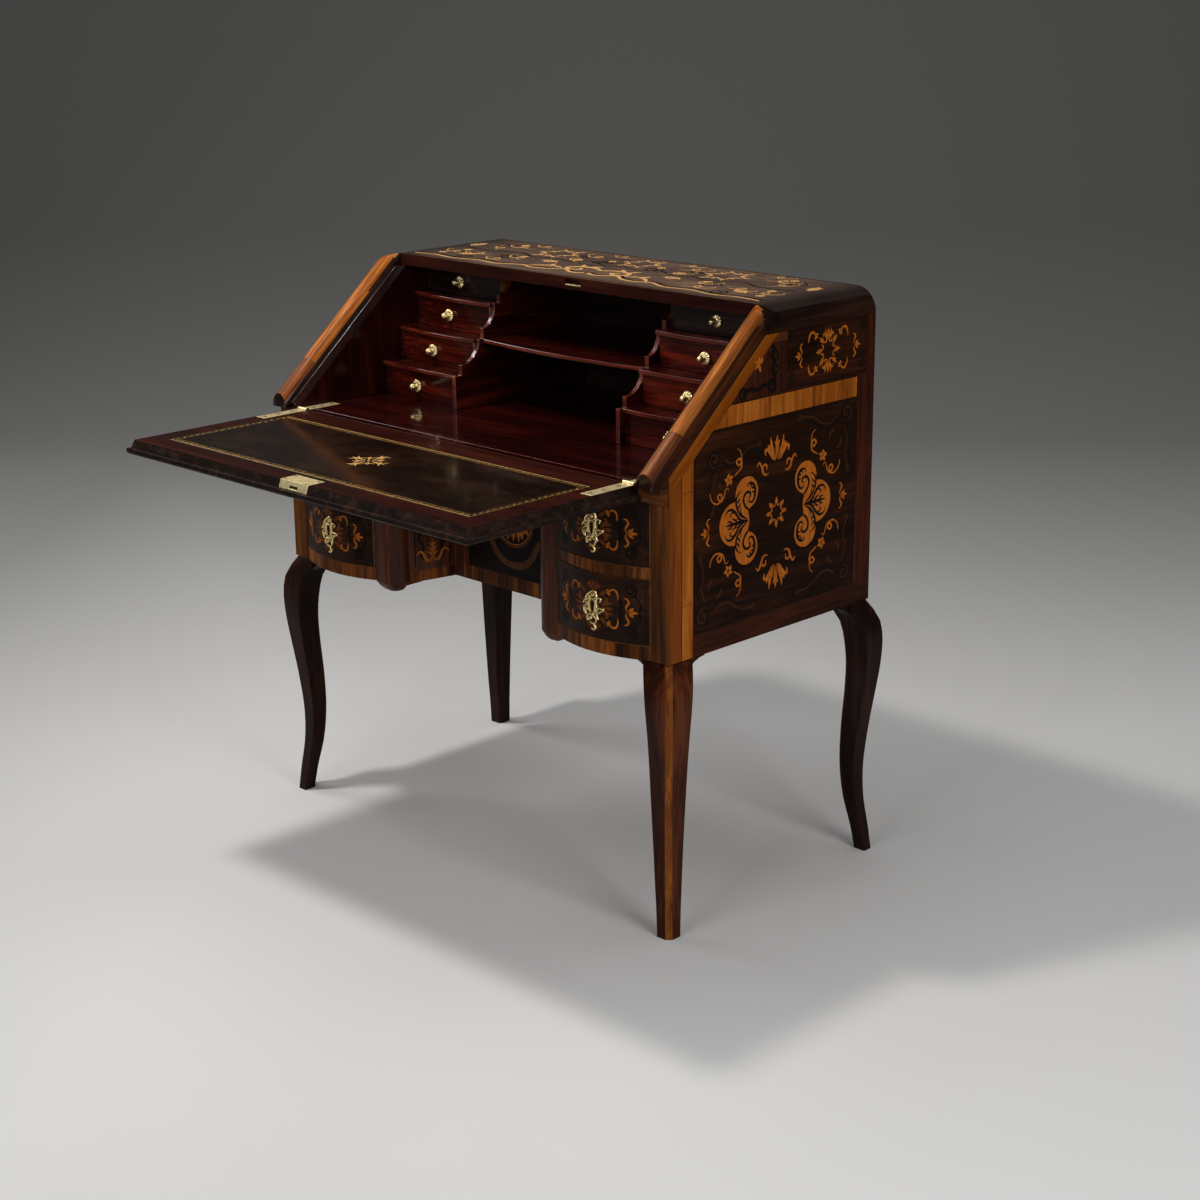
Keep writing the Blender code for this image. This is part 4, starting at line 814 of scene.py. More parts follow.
def spray(pen):
    """A flower between two looped tendrils."""
    flower(pen, "amber", 10.5, 5)
    for points in (STEM, CURL):
        pen.stroke("amber", points, 3.6, 0.35, 0.4, fade(0.5), 6)


# A ribbon with a loop at its middle and a hook at its end
TENDRIL = ((0, 0), (8.28, -3), (16.56, 1), (23.92, 3.25), (25.76, 9.75), (21.16, 12.35), (17.02, 8.45), (20.24, 1.3),
           (28.52, -1.95), (37.72, 1.95), (43.7, 7.15), (46, 13), (42.32, 16.25))


def anthemion(pen):
    """Three leaves pointing along +x between two waved arms."""
    for turn, long in ((-42, 15), (0, 20), (42, 15)):
        pen.ray("amber", -2, 0, turn, long, 6.4)
    for arm in pen.pair():
        arm.stroke("amber", [(-3, 0), (-7, 7), (-4, 14), (-1, 20), (-5, 27), (-11, 27)], 4.4, 0.5, 0.2, fade(0.7))


# The black veins of half a shell: width, start and end shares, places; then its nicks from place to place
VEINS = (
    (4.8, 0.9, 0.4, (-1, 18), (-8, 25), (-11.8, 34), (-10, 42), (-4, 46.8), (3.4, 45), (5, 40), (1, 36.5)),
    (5.4, 0.35, 0.3, (0.5, 34), (4, 29), (11, 30), (15.2, 38), (16, 48), (12.5, 56), (6, 60.6), (-1, 59.5), (-3, 54.5)),
    (4.4, 0.2, 0.15, (-3, 2), (-16, 9), (-24, 18), (-29, 30), (-29, 40), (-24, 47.5), (-16, 51)),
    (3.4, 0.3, 0.1, (-2, 2.5), (-12, 8), (-18.5, 16), (-18.5, 26.5)),
    (5.0, 0.2, 0.12, (-4, 1), (-17, 4), (-25.5, 11), (-33, 20), (-43, 25), (-52.5, 21.5), (-56, 12.5)),
    (2.8, 0.6, 0.3, (-33, 18), (-40, 19), (-44, 15), (-40, 12)),
)
NICKS = ((-16, 0, -29, 7), (-26, 0, -40, 8.5), (-38, 0, -50, 6.5), (-28, 33, -21, 41), (-27, 24, -20, 33),
         (15, 49, 6, 52), (15, 41, 8, 46), (9, 58, 4, 53))


def shell(pen):
    """A three-lobed scroll with its hub at the origin and lobes towards -x, veined in black."""
    pen.dot("amber", -33, 0, 35.5, 28)
    pen.leaf("black", 2, 0, -58, 0, 6.0, 0.0, 0.0)
    for half in pen.pair():
        half.dot("amber", -4, 45.5, 27, 26)
        half.line("amber", through([(-8, 2), (-10, 14), (-12, 30)], 7), 19)
        for width, start, end, *places in VEINS:
            half.stroke("black", places, width, start, end)
        for nick in NICKS:
            half.leaf("black", *nick, 3.8, 0.15, 0.0)


def hook(pen):
    """A bent stem with a leaf at its head."""
    pen.stroke("amber", [(0, 0), (6, 6), (14, 5), (18, -3), (18, -13)], 4.2, 0.4, 0.15)
    for turn in (150, 205, 260):
        pen.ray("amber", 1, 1, turn, 8, 4.6)


def strap(pen, layer, points, width, eye=0.0):
    """Strapwork: a smooth band that may end in an eye."""
    pen.line(layer, through(points), width)
    if eye:
        pen.ring(layer, *points[-1], eye, width * 0.8, 14)


def volute(pen, layer, radius, width, turns=1.6):
    pen.curl(layer, 0, 0, radius, radius * 0.22, -90, -90 + 360 * turns, width, 30)


# Surfaces that carry inlay

def side_surface(side):
    return lambda y, z, h: Vector((side * (HALF_WIDTH + h), y + BACK_Y, z))


# How much further out a pedestal's front stands at its inner edge, and how far it bows
FRONT_LEAN, FRONT_BOW = 0.008, 0.024


def bowed_front(across):
    u = (across - DRAWER_MIDDLE) / ((SIDE_INNER - PEDESTAL_INNER) / 2)
    return FRONT_Y - FRONT_LEAN * (1 - u) / 2 - FRONT_BOW * (1 - u * u)


def drawer_surface(side):
    def at(u, z, h):
        across = DRAWER_MIDDLE + u
        slope = (bowed_front(across + 1e-4) - bowed_front(across - 1e-4)) / 2e-4
        long = math.hypot(slope, 1.0)
        return Vector((side * (across + slope / long * h), bowed_front(across) + BACK_Y - h / long, z))
    return at


def flat_surface(origin, u_axis, v_axis, way=1):
    """A plane; its outer side is where u turns to v against the clock, or the other one with way -1."""
    origin, u_axis, v_axis = Vector(origin), Vector(u_axis), Vector(v_axis)
    normal = u_axis.cross(v_axis) * way
    return lambda u, v, h: origin + u_axis * u + v_axis * v + normal * h


def layers_on(surface, **lifts):
    return {name: Inlay(surface, lift) for name, lift in lifts.items()}


def lay(prefix, layers, body, ebony="ebony_line", **finishes):
    """Makes a piece of each layer, in its own finish unless another is named."""
    finishes["ebony"] = ebony
    for name, layer in layers.items():
        layer.finish(f"{prefix}_{name}", finishes.get(name, name), body, "rosewood")


# Marquetry of the case sides; y and z of the veneers' edges, and distances from the slant's line
STRIP_BACK, STRIP_LINE, POST_FRONT, POST_BACK, RAIL_FRONT = -0.4727, -0.4724, -0.4721, -0.4465, -0.4459
RAIL_TOP, STILE_LOW, STILE_FRONT, HIGH_STILE_LOW, HIGH_STILE_FRONT = 0.4995, 0.5001, -0.044, 0.8615, -0.0235
BAND_LOW, BAND_HIGH, BAND_BACK = 0.8245, 0.8572, -0.0465
PANEL_LOW, PANEL_HIGH, PANEL_TOP, PANEL_BACK, PANEL_STILE = 0.8612, 0.9425, 0.957, -0.2425, -0.2262
SLANT_INNER, SLANT_OUTER, JOINT, EDGE_GAP = -0.0225, -0.0008, 0.0004, 0.001
FIELD_LINE = [(-0.4425, 0.504), (-0.048, 0.504), (-0.048, 0.8205), (-0.405, 0.8205), (-0.4425, 0.781)]


def under_slant(y, out=SLANT_INNER):
    return BED_HEIGHT + (y - HINGE_Y + out / SIN) * SIN / COS


def on_slant(z, out=SLANT_INNER - JOINT):
    return HINGE_Y + ((z - BED_HEIGHT) - out / COS) * COS / SIN


def side_veneers(layers):
    """The plain bands round the side's panels."""
    front, back, low = FRONT_Y + EDGE_GAP, -EDGE_GAP, LEG_HEIGHT + EDGE_GAP
    for layer, y0, y1 in (("orange", front, STRIP_BACK), ("satin", POST_FRONT, POST_BACK)):
        layers[layer].slab((y0, low), (y1, low), (y1, under_slant(y1)), (y0, under_slant(y0)))
    layers["rail"].oblong(RAIL_FRONT, low, back, RAIL_TOP)
    layers["stile"].oblong(STILE_FRONT, STILE_LOW, back, PANEL_LOW)
    layers["stile"].oblong(HIGH_STILE_FRONT, HIGH_STILE_LOW, back, PANEL_TOP)
    layers["satin_y"].slab((front, under_slant(front) + JOINT), (on_slant(PANEL_TOP, SLANT_INNER), PANEL_TOP),
                           (on_slant(PANEL_TOP, SLANT_OUTER), PANEL_TOP), (front, under_slant(front, SLANT_OUTER)))
    layers["ebony"].ribbon([(STRIP_LINE, low), (STRIP_LINE, under_slant(STRIP_LINE))], 0.0014)
    for z in (0.553, 0.7345):
        layers["ebony"].ribbon([(POST_FRONT, z), (POST_BACK, z + 0.0006)], 0.0006)
    for layer, z0, z1, end in (("satin", BAND_LOW, BAND_HIGH, BAND_BACK), ("panel", PANEL_LOW, PANEL_HIGH, PANEL_BACK),
                               ("band", PANEL_HIGH + JOINT, PANEL_TOP, PANEL_STILE)):
        layers[layer].slab((on_slant(z0), z0), (end, z0), (end, z1), (on_slant(z1), z1))
    layers["stile"].oblong(PANEL_BACK + JOINT, PANEL_LOW, PANEL_STILE, PANEL_HIGH)
    layers["ebony"].ribbon([(PANEL_BACK, PANEL_LOW), (PANEL_BACK, PANEL_HIGH)], 0.0022)


def side_corner(corner):
    """Dark strapwork in a corner of the side's field."""
    volute(corner, "ebony", 19, 4.2)
    strap(corner, "ebony", [(-19, -4), (-40, -20), (-64, -16), (-92, -2), (-132, 2)], 3.6)
    strap(corner, "ebony", [(2, -19), (14, -44), (8, -70), (16, -104)], 3.6, 6)
    volute(corner, "ghost", 13.5, 2.6, 1.2)
    strap(corner, "ghost", [(-24, -2), (-42, -12), (-64, -9), (-90, 6), (-120, 9)], 2.8, 4)
    strap(corner, "ghost", [(-6, -24), (3, -46), (-2, -70), (6, -96)], 2.8, 4)
    corner.leaf("ghost", -30, -24, -44, -40, 6, 0.2, 0.0)
    corner.leaf("ghost", -14, -40, -26, -58, 6, -0.2, 0.0)


def side_marquetry(word, side):
    layers = layers_on(side_surface(side), stile=0.08, rail=0.08, satin=0.08, satin_y=0.08, orange=0.08, panel=0.08,
                       band=0.08, ebony=0.14, ghost=0.14, amber=0.2, black=0.27)
    side_veneers(layers)
    field = Pen(layers, -0.2478, 0.6640)
    rosette(field, 15.5)
    for way, half in field.halves():
        shell(half.at(-69, 0))
        anthemion(half.at(168, -2, size=0.78))
        for part in half.pair():
            if way == 1:
                palmette(part.at(0, 89))
            part.stroke("amber", LITTLE_CURL, 4.4, 0.4, 0.3, fade(0.5), 6)
            part.stroke("amber", [(24.5, 75), (26, 83), (32.5, 83.5), (35.5, 77)], 3.6, 0.4, 0.5)
            spray(part.at(116, 74.5))
            cramped = way == -1 and part is half
            side_corner(part.at(150, 112, size=0.9) if cramped else part.at(176, 138))
    layers["ebony"].ribbon(FIELD_LINE, 0.0018, closed=True)

    frieze = Pen(layers, -0.1237, 0.9120)
    rosette(frieze, 19, 1.12, 0.66)
    for way, half in frieze.halves():
        anthemion(half.at(71, 0, size=0.68))
        for part in half.pair():
            hook(part.at(32, 27, size=0.92, turn=8))
            volute(part.at(88, 33), "ebony", 9, 2.4)
            if way == 1:
                palmette(part.at(0, 19, size=0.46))
    layers["ebony"].border(-0.222, 0.8645, -0.0265, 0.955, 0.0015)

    leaf = Pen(layers, -0.2925, 0.9128)
    for turn in (60, 110, 160, 215, 280):
        leaf.ray("amber", 0, 0, turn, 13, 5, 0.12)
    strap(leaf, "black", [(27, 27), (34, 20), (28, 10), (34, 0), (29, -14), (37, -26), (30, -38)], 8.0, 9)
    strap(leaf, "black", [(28, -39), (12, -35), (-4, -40), (-22, -37), (-40, -42)], 7.0, 8)
    leaf.ring("black", 36, 9, 8, 4.2, 16)
    leaf.ring("black", 38, -13, 7, 4.0, 16)
    lay(f"{word}_side", layers, "case", satin_y="satin_slant", panel="stile")


for word, side in SIDES:
    side_marquetry(word, side)


# Marquetry of the pedestal drawers

RULE_X, RULE_Z, RULE_WIDTH = 0.094, 0.0475, 0.0016


def drawer_marquetry(word, side, height, centre):
    layers = layers_on(drawer_surface(side), ebony=0.12, umber=0.18, amber=0.24)
    for way, half in Pen(layers, 0.0, centre).halves():
        palmette(half.at(18, -1, turn=-90, size=0.58), "umber")
        anthemion(half.at(68, -2, size=0.8))
        strap(half, "ebony", [(50, 16), (56, 8), (50, 0), (56, -8), (50, -16)], 4.4)
        for part in half.pair():
            if way == 1:
                palmette(part.at(2, 25, size=0.46), "umber")
            hook(part.at(33, 26, size=0.86))
            part.leaf("umber", 12, 20, 26, 30, 6, 0.2)
            volute(part.at(70, 34), "ebony", 11, 3.4)
            strap(part, "ebony", [(78, 24), (86, 12), (84, 0)], 2.6)
    layers["ebony"].border(-RULE_X, centre - RULE_Z, RULE_X, centre + RULE_Z, RULE_WIDTH)
    lay(f"{height}_{word}_drawer", layers, f"{height}_{word}_drawer")


for word, side in SIDES:
    for height, centre in DRAWER_ROWS:
        drawer_marquetry(word, side, height, centre)


# Brass mounts; the lock's plate is thinned and drawn in under the scrolls

PLATE_LEFT, RIM_LEFT, PLATE_PROUD, RIM_PROUD = 0.0009, 0.0004, 0.001, 0.0003
PLATE_SHARE_X, PLATE_SHARE_Z = 0.55, 0.64
KEYHOLE_HALF_X, KEYHOLE_HALF_Z = 0.008, 0.014

# Strokes of the mount in millimetres from its keyhole: width, then places
MOUNT = (
    (3.6, (1.4, 24.1), (-4.6, 20.3), (-11.1, 15.0), (-14.3, 8.3), (-11.1, 10.6)),
    (3.6, (1.4, 24.6), (6.5, 23.0), (7.8, 18.5), (9.2, 14.0), (5.1, 11.8)),
    (3.2, (-19.8, -0.3), (-17.1, 4.3), (-9.7, 8.6), (-2.3, 10.4), (4.0, 9.4)),
    (3.2, (-18.9, -4.9), (-14.3, -2.6), (-9.2, 0.3), (-10.2, 2.9), (-14.3, 1.4), (-12.5, 0.1)),
    (3.2, (-14.3, -5.4), (-10.4, -9.3), (-7.6, -5.0), (-8.0, 1.0)),
    (3.8, (16.2, 7.1), (18.0, 12.2), (12.5, 13.6), (8.2, 8.9), (7.6, 1.9), (9.7, -3.0), (17.1, -3.7), (23.1, -3.9),
     (20.3, -7.3), (14.3, -9.0)),
    (3.0, (7.0, -0.7), (6.8, -6.0), (9.2, -8.4), (6.0, -13.2)),
    (3.6, (-9.7, -27.7), (-11.5, -21.9), (-7.4, -16.4), (-0.9, -16.2), (5.1, -19.2), (8.8, -23.6), (5.5, -29.7)),
    (2.6, (-6.0, -25.7), (-6.9, -22.4), (-2.8, -20.6), (-1.4, -23.1)),
    (3.2, (17.5, -10.7), (12.5, -11.3), (9.7, -15.3), (10.6, -19.2), (12.9, -22.2)),
    (3.2, (-5.1, -28.2), (0.5, -30.6), (5.1, -29.8)),
    (3.6, (1.4, -29.1), (5.1, -34.0), (6.1, -38.0), (1.8, -41.0), (-0.9, -38.6)),
)
RIM = ((0.5, 9.8), (4.8, 8.8), (6.6, 4.0), (6.0, -3.5), (4.6, -10.0), (0.5, -12.5))
MOUNT_LEAVES = ((-19.0, -5.5, -12.0, -18.0, 6.5, 0.1), (2.5, -12.0, 3.5, -18.5, 4.5, 0.1),
                (-3.5, 11.0, -8.5, 16.0, 4.5, -0.1))


def escutcheon(word, side, height, centre):
    """A chased cartouche of scrolls and leaves on a thin plate, with the lock behind it."""
    middle = side * DRAWER_MIDDLE
    name, body = f"{height}_{word}", f"{height}_{word}_drawer"

    def thin_plate(shape):
        for vertex in shape.verts:
            place = vertex.co
            proud = bowed_front(abs(place.x)) + BACK_Y - place.y
            if proud < RIM_PROUD:
                continue
            if abs(place.x - middle) > KEYHOLE_HALF_X or abs(place.z - centre) > KEYHOLE_HALF_Z:
                place.x = middle + (place.x - middle) * PLATE_SHARE_X
                place.z = centre + (place.z - centre) * PLATE_SHARE_Z
            lift = PLATE_LEFT if proud > PLATE_PROUD else RIM_LEFT
            place.y = bowed_front(abs(place.x)) + BACK_Y - lift

    dress(name + "_lock", "old_brass", bevel=0.25, edit=thin_plate)
    # The keyhole is a dark inlay on the plate: painted shade in the opening.
    keyhole_shade = Inlay(drawer_surface(side), 1.05)
    dark = Pen({"keyhole_shade": keyhole_shade}, 0.0, centre)
    dark.dot("keyhole_shade", 0, 3.6, 3.0)
    dark.line("keyhole_shade", [(0, 3.0), (0, -8.5)], lambda t: 2.6 + 1.2 * t)
    keyhole_shade.finish(name + "_keyhole", "ebony_line", body, "brass")
    relief = Inlay(drawer_surface(side), 0.7, DOMED, 2.0, 0.02)
    pen = Pen({"brass": relief}, 0.0, centre).at(0, 0, flip=side)
    for width, *places in MOUNT:
        pen.stroke("brass", places, width, 0.6, 0.6, steps=6)
    for _, half in pen.halves():
        half.stroke("brass", RIM, 2.6, 0.7, 0.7)
    for leaf in MOUNT_LEAVES:
        pen.leaf("brass", *leaf)
    pen.dot("brass", 1.4, 17.3, 3.0, 10)
    pen.dot("brass", -3.2, -22.6, 2.0, 8)
    relief.finish(name + "_escutcheon", "brass", body, "brass", 50)


def screws(name, places, level, body, radius=3.4):
    """Slotted countersunk heads let into a plate that faces up; places are x and y."""
    surface = flat_surface((0, 0, level), (1, 0, 0), (0, 1, 0))
    heads = Inlay(surface, 0.04, DOMED, 0.3)
    # The slots and the thin rings round the heads are dark inlay: painted shade in the slots and in the gap round each
    # head.
    slot_shades = Inlay(surface, 0.36)
    for n, (x, y) in enumerate(places):
        pen = Pen({"head": heads, "slot": slot_shades}, x, y).at(0, 0, turn=25 + 47 * n)
        pen.dot("head", 0, 0, radius)
        pen.line("slot", [(-radius * 0.8, 0), (radius * 0.8, 0)], 0.9)
        pen.ring("slot", 0, 0, radius + 0.15, 0.4, 20)
    heads.finish(name + "_screws", "plate", body, "brass", 50)
    slot_shades.finish(name + "_slots", "ebony_line", body, "brass")


# Where the screws sit along each leaf of a hinge, as shares of its length
HINGE_SCREWS = (("bed_hinge_leaf", "case", (0.34, 0.6, 0.88)), ("fall_hinge_leaf", "fall", (0.1, 0.4, 0.72)))

for word, side in SIDES:
    for height, centre in DRAWER_ROWS:
        escutcheon(word, side, height, centre)
    for leaf, body, shares in HINGE_SCREWS:
        low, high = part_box(f"{word}_{leaf}")
        spots = [((low.x + high.x) / 2, low.y + (high.y - low.y) * share) for share in shares]
        screws(f"{word}_{leaf}", spots, BED_HEIGHT, body)

# A pin's head in millimetres: radius and how far out
PIN_HEAD, PIN_STEPS = ((3.4, 0.05), (3.8, 0.5), (3.7, 1.1), (3.0, 2.0), (1.8, 2.6), (0.7, 2.8)), 24


def pin_heads(word):
    """Domed heads on both ends of a hinge pin."""
    low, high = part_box(f"{word}_hinge_pin")
    y, z = (low.y + high.y) / 2, (low.z + high.z) / 2
    turns = [2 * math.pi * k / PIN_STEPS for k in range(PIN_STEPS)]
    shells = [
        [[(end + way * out * MM, y + radius * MM * math.cos(turn), z + radius * MM * math.sin(turn)) for turn in turns]
         for radius, out in PIN_HEAD] for end, way in ((low.x, -1), (high.x, 1))]
    lofted(f"{word}_pin_heads", shells, "steel", NODES[f"{word}_hinge_pin"]["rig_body"])


for word, side in SIDES:
    pin_heads(word)

low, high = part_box("fall_lock")
corners = [(x, y) for x in (low.x + 0.007, high.x - 0.007) for y in (low.y + 0.008, high.y - 0.007)]
screws("fall_lock", corners, high.z, "fall", 2.8)


# Marquetry of the knee recess

RECESS_FRONT, RECESS_BACK, RECESS_Z = (0.1737, -0.479), (0.1537, RECESS_Y), 0.595
BAND_FOOT, RECESS_RULE = -0.131, 0.002
SPRIG_ARM = ((1, 8), (5, 2), (11, 1), (17, 8), (22, 18), (29, 21), (36, 14))


def recess_marquetry(word, side):
    (x0, y0), (x1, y1) = RECESS_FRONT, RECESS_BACK
    long = math.hypot(x1 - x0, y1 - y0)
    along = Vector((side * (x1 - x0), y1 - y0, 0)) / long
    surface = flat_surface((side * x0, y0 + BACK_Y, RECESS_Z), along, (0, 0, 1), -side)
    layers = layers_on(surface, cross=0.08, ebony=0.14, amber=0.2)
    layers["cross"].oblong(EDGE_GAP, BAND_FOOT, long - EDGE_GAP, -0.112)
    layers["ebony"].border(0.010, -0.104, long - 0.010, 0.118, RECESS_RULE)
    for part in Pen(layers, long / 2, 0.0).pair():
        sprig = part.at(0, -97, size=0.92)
        for low, reach, high in ((8, 12, 19), (15, 11, 28), (24, 8, 37)):
            for way in (1, -1):
                sprig.leaf("amber", 0, low, way * reach, high, 3.8, -way * 0.12, 0.5)
        sprig.leaf("amber", 0, 3, 0, 44, 4.6)
        for (_, arm), (_, half) in zip(sprig.halves(), part.halves()):
            arm.stroke("amber", SPRIG_ARM, 5.6, 0.5, 0.3, fade(0.5), 6)
            strap(half, "ebony", [(4, 98), (22, 88), (17, 70), (28, 54), (20, 38)], 3.4, 5)
            strap(half, "ebony", [(20, 38), (8, 26), (16, 12), (6, 2)], 3.4)
    lay(f"{word}_recess", layers, "case")


for word, side in SIDES:
    recess_marquetry(word, side)

CARTOUCHE = ((-1, -84), (24, -80), (44, -66), (56, -48), (66, -36), (82, -34), (84, -22), (104, -20), (104, 1))


def centre_marquetry():
    layers = layers_on(flat_surface((0, BACK_Y + RECESS_Y, RECESS_Z), (1, 0, 0), (0, 0, 1)),
                       cross=0.08, band=0.08, brown=0.14, amber=0.2)
    edge, inner, seam, top = 0.1317, 0.118, -0.105, 0.128
    layers["cross"].oblong(-edge, BAND_FOOT, edge, seam)
    for way in (-1, 1):
        layers["band"].oblong(way * edge, seam + 0.0003, way * inner, top)
    pen = Pen(layers)
    pen.ring("brown", 0, 0, 50, 4.2, 48)
    pen.ring("amber", 0, 0, 46, 1.5, 48)
    for part in pen.pair():
        for _, half in part.halves():
            strap(half, "brown", CARTOUCHE, 12)
            half.stroke("amber", [(2, 4), (14, 18), (30, 16), (33, 2), (22, -1), (19, 8)], 6.4, 0.7, 0.4, 0.2, 6)
            half.leaf("amber", 12, 17, 22, 34, 9, 0.2)
            half.leaf("amber", 24, 16, 38, 24, 8, 0.2)
        palmette(part.at(0, 6, size=0.9))
    lay("centre_drawer", layers, "centre_drawer", band="pilaster")


centre_marquetry()


# Marquetry of the top: half its front scroll, then places of its tendrils, palmettes, flowers and volutes

TOP_FRONT = ((4, -76), (30, -84), (64, -66), (92, -84), (126, -90), (160, -80), (206, -98), (262, -92), (318, -104),
             (372, -96), (420, -104))
TOP_TENDRILS = ((92, 62, 10, 1.4), (284, 72, -8, 1.5), (100, 2, 30, 1.4), (196, -40, 15, 1.5), (288, -30, -20, 1.4),
                (330, 20, 40, 1.2), (60, 100, 0, 1.1), (352, -52, 8, 1.3), (260, 100, 0, 1.2), (220, -70, 4, 1.3))
TOP_PALMETTES = ((150, -28, 0), (330, -60, -20), (400, 44, -80))
TOP_FLOWERS = ((128, 30), (226, -10), (372, -16), (388, -64), (330, 92), (60, 52))
TOP_VOLUTES = ((140, 60, 0), (250, -30, 90), (360, 70, 180), (60, 30, 40), (310, -80, 0))
TOP_STRAP = ((0, 20), (40, 8), (84, 26), (120, 8), (170, 16), (214, 0), (270, 26), (330, 2), (400, 10))


def star(pen):
    """A six-pointed ring with leaves on its points and between them."""
    pen.ring("pale", 0, 0, 31, 3.4, 60, 0.2, 6)
    for turn in range(0, 360, 60):
        pen.at(0, 0, turn=turn).leaf("pale", 35, 0, 52, 0, 6)
        pen.at(0, 0, turn=turn + 30).leaf("pale", 26, 0, 38, 0, 4, 0.2)


def top_marquetry():
    layers = layers_on(flat_surface((0, BACK_Y, TOP_HEIGHT - SKIN), (1, 0, 0), (0, 1, 0)), ebony=0.14, pale=0.21)
    for way, half in Pen(layers, 0.0, -0.130).halves():
        half.line("pale", through(TOP_FRONT, 8), lambda t: 6.5 - 3 * t)
        half.line("ebony", through([(x, y + 9) for x, y in TOP_FRONT], 8), 5.5)
        half.stroke("pale", [(0, -40), (26, -26), (58, -30), (72, -48), (56, -62), (38, -52), (48, -42)], 9, 0.6, 0.5,
                    steps=6)
        half.stroke("pale", [(76, -60), (104, -52), (132, -64), (150, -84)], 7, 0.3, 0.4, steps=6)
        half.leaf("pale", 40, -34, 22, -10, 10, 0.2)
        half.leaf("pale", 60, -34, 72, -10, 9, -0.2)
        half.leaf("pale", 100, -56, 116, -34, 9, 0.2)
        star(half.at(206, 60))
        if way == 1:
            star(half.at(0, 66, size=0.9))
        for x, y, turn, size in TOP_TENDRILS:
            half.at(x, y, turn, size).stroke("pale", TENDRIL, 2.2, 0.3, 0.35, fade(0.5))
        for x, y, turn in TOP_PALMETTES:
            palmette(half.at(x, y, turn, 0.62), "pale")
        for x, y in TOP_FLOWERS:
            flower(half.at(x, y), "pale", 9, 6)
        for x, y, turn in TOP_VOLUTES:
            volute(half.at(x, y, turn), "ebony", 20, 4)
        strap(half, "ebony", TOP_STRAP, 4)
    layers["ebony"].border(-0.424, -0.250, 0.424, -0.006, 0.002)
    lay("top", layers, "case")


top_marquetry()


# Marquetry of the fall's outer face, which shows when the fall is shut

BORDER_SIDE, BORDER_NEAR, BORDER_FAR, BORDER_WIDTH, MITRE = 0.398, 0.028, 0.320, 0.020, 0.0006
FALL_STRAP = ((340, 100), (290, 84), (250, 104), (200, 92), (140, 108), (90, 92), (40, 106))


def fall_marquetry():
    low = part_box("fall_board")[0].z
    layers = layers_on(flat_surface((0, BACK_Y + HINGE_Y, low + 0.00005), (1, 0, 0), (0, -1, 0)),
                       satin=0.08, satin_z=0.08, ebony=0.14, amber=0.2, black=0.27)
    side, inner, near, far = BORDER_SIDE, BORDER_SIDE - BORDER_WIDTH, BORDER_NEAR, BORDER_FAR
    for edge, inset in ((near, near + BORDER_WIDTH), (far, far - BORDER_WIDTH)):
        layers["satin"].slab((-side, edge), (side, edge), (inner, inset), (-inner, inset))
    for way in (-1, 1):
        layers["satin_z"].slab((way * side, near + MITRE), (way * side, far - MITRE),
                               (way * inner, far - BORDER_WIDTH - MITRE), (way * inner, near + BORDER_WIDTH + MITRE))
    pen = Pen(layers, 0.0, (near + far) / 2)
    rosette(pen, 17)
    for way, half in pen.halves():
        shell(half.at(-75, 0))
        anthemion(half.at(182, 0, size=1.1))
        shell(half.at(240, 0, flip=-1, size=0.8))
        anthemion(half.at(330, 0))
        for part in half.pair():
            if way == 1:
                palmette(part.at(0, 62))
            spray(part.at(140, 66))
            hook(part.at(300, 60))
            volute(part.at(352, 96), "ebony", 15, 3.6)
            strap(part, "ebony", FALL_STRAP, 3.6)
    lay("fall", layers, "fall", satin="satin_x", satin_z="satin_y")


fall_marquetry()


# Gold tooling on the writing leather, in millimetres; the ornament's place in metres

RULES, STAMP_INSET, STAMP_PITCH = ((3.5, 1.5), (12.5, 0.5)), 8.2, 13
ORNAMENT_X, ORNAMENT_Y = -0.008, -0.697


def leather_tooling():
    low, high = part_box("leather_panel")
    middle = (low + high) / 2
    gold = Inlay(flat_surface((middle.x, middle.y, high.z), (1, 0, 0), (0, 1, 0)), 0.08)
    pen = Pen({"gold": gold})
    half_x, half_y = (high.x - low.x) / 2 / MM, (high.y - low.y) / 2 / MM

    def corners(inset):
        x, y = half_x - inset, half_y - inset
        return [(-x, -y), (x, -y), (x, y), (-x, y)]

    for inset, width in RULES:
        pen.line("gold", corners(inset), width, closed=True)
    rim = corners(STAMP_INSET)
    for n, ((x0, y0), (x1, y1)) in enumerate(zip(rim, rim[1:] + rim[:1])):
        count = int(math.hypot(x1 - x0, y1 - y0) // STAMP_PITCH)
        for k in range(count):
            t = (k + 0.5) / count
            stamp = pen.at(x0 + (x1 - x0) * t, y0 + (y1 - y0) * t, turn=90 * n)
            stamp.leaf("gold", -3.4, -1.2, 3.4, 1.2, 0.9, 0.25, 0.0, 5)
            stamp.curl("gold", 3, 0, 1.8, 0.8, -40, 220, 0.4, 8)
    centre = pen.at((ORNAMENT_X - middle.x) / MM, (BACK_Y + ORNAMENT_Y - middle.y) / MM)
    for turn in range(0, 360, 90):
        arm = centre.at(0, 0, turn=turn)
        arm.leaf("gold", 7, 0, 42, 0, 4.5, 0.0, 0.0)
        for half in arm.pair():
            half.stroke("gold", [(5, 4), (12, 9.5), (21, 9), (25, 4.5), (20, 3)], 1.6)
            half.leaf("gold", 24, 4, 37, 12, 3.2, 0.2, 0.0)
            half.leaf("gold", 9, 9, 19, 19, 2.6, -0.15, 0.0)
    centre.dot("gold", 0, 0, 2.6)
    gold.finish("leather_tooling", "gold", "fall", "brass")


leather_tooling()


# Camera, light and stage; the camera is the one fitted to the photograph of 1200 by 1200 pixels

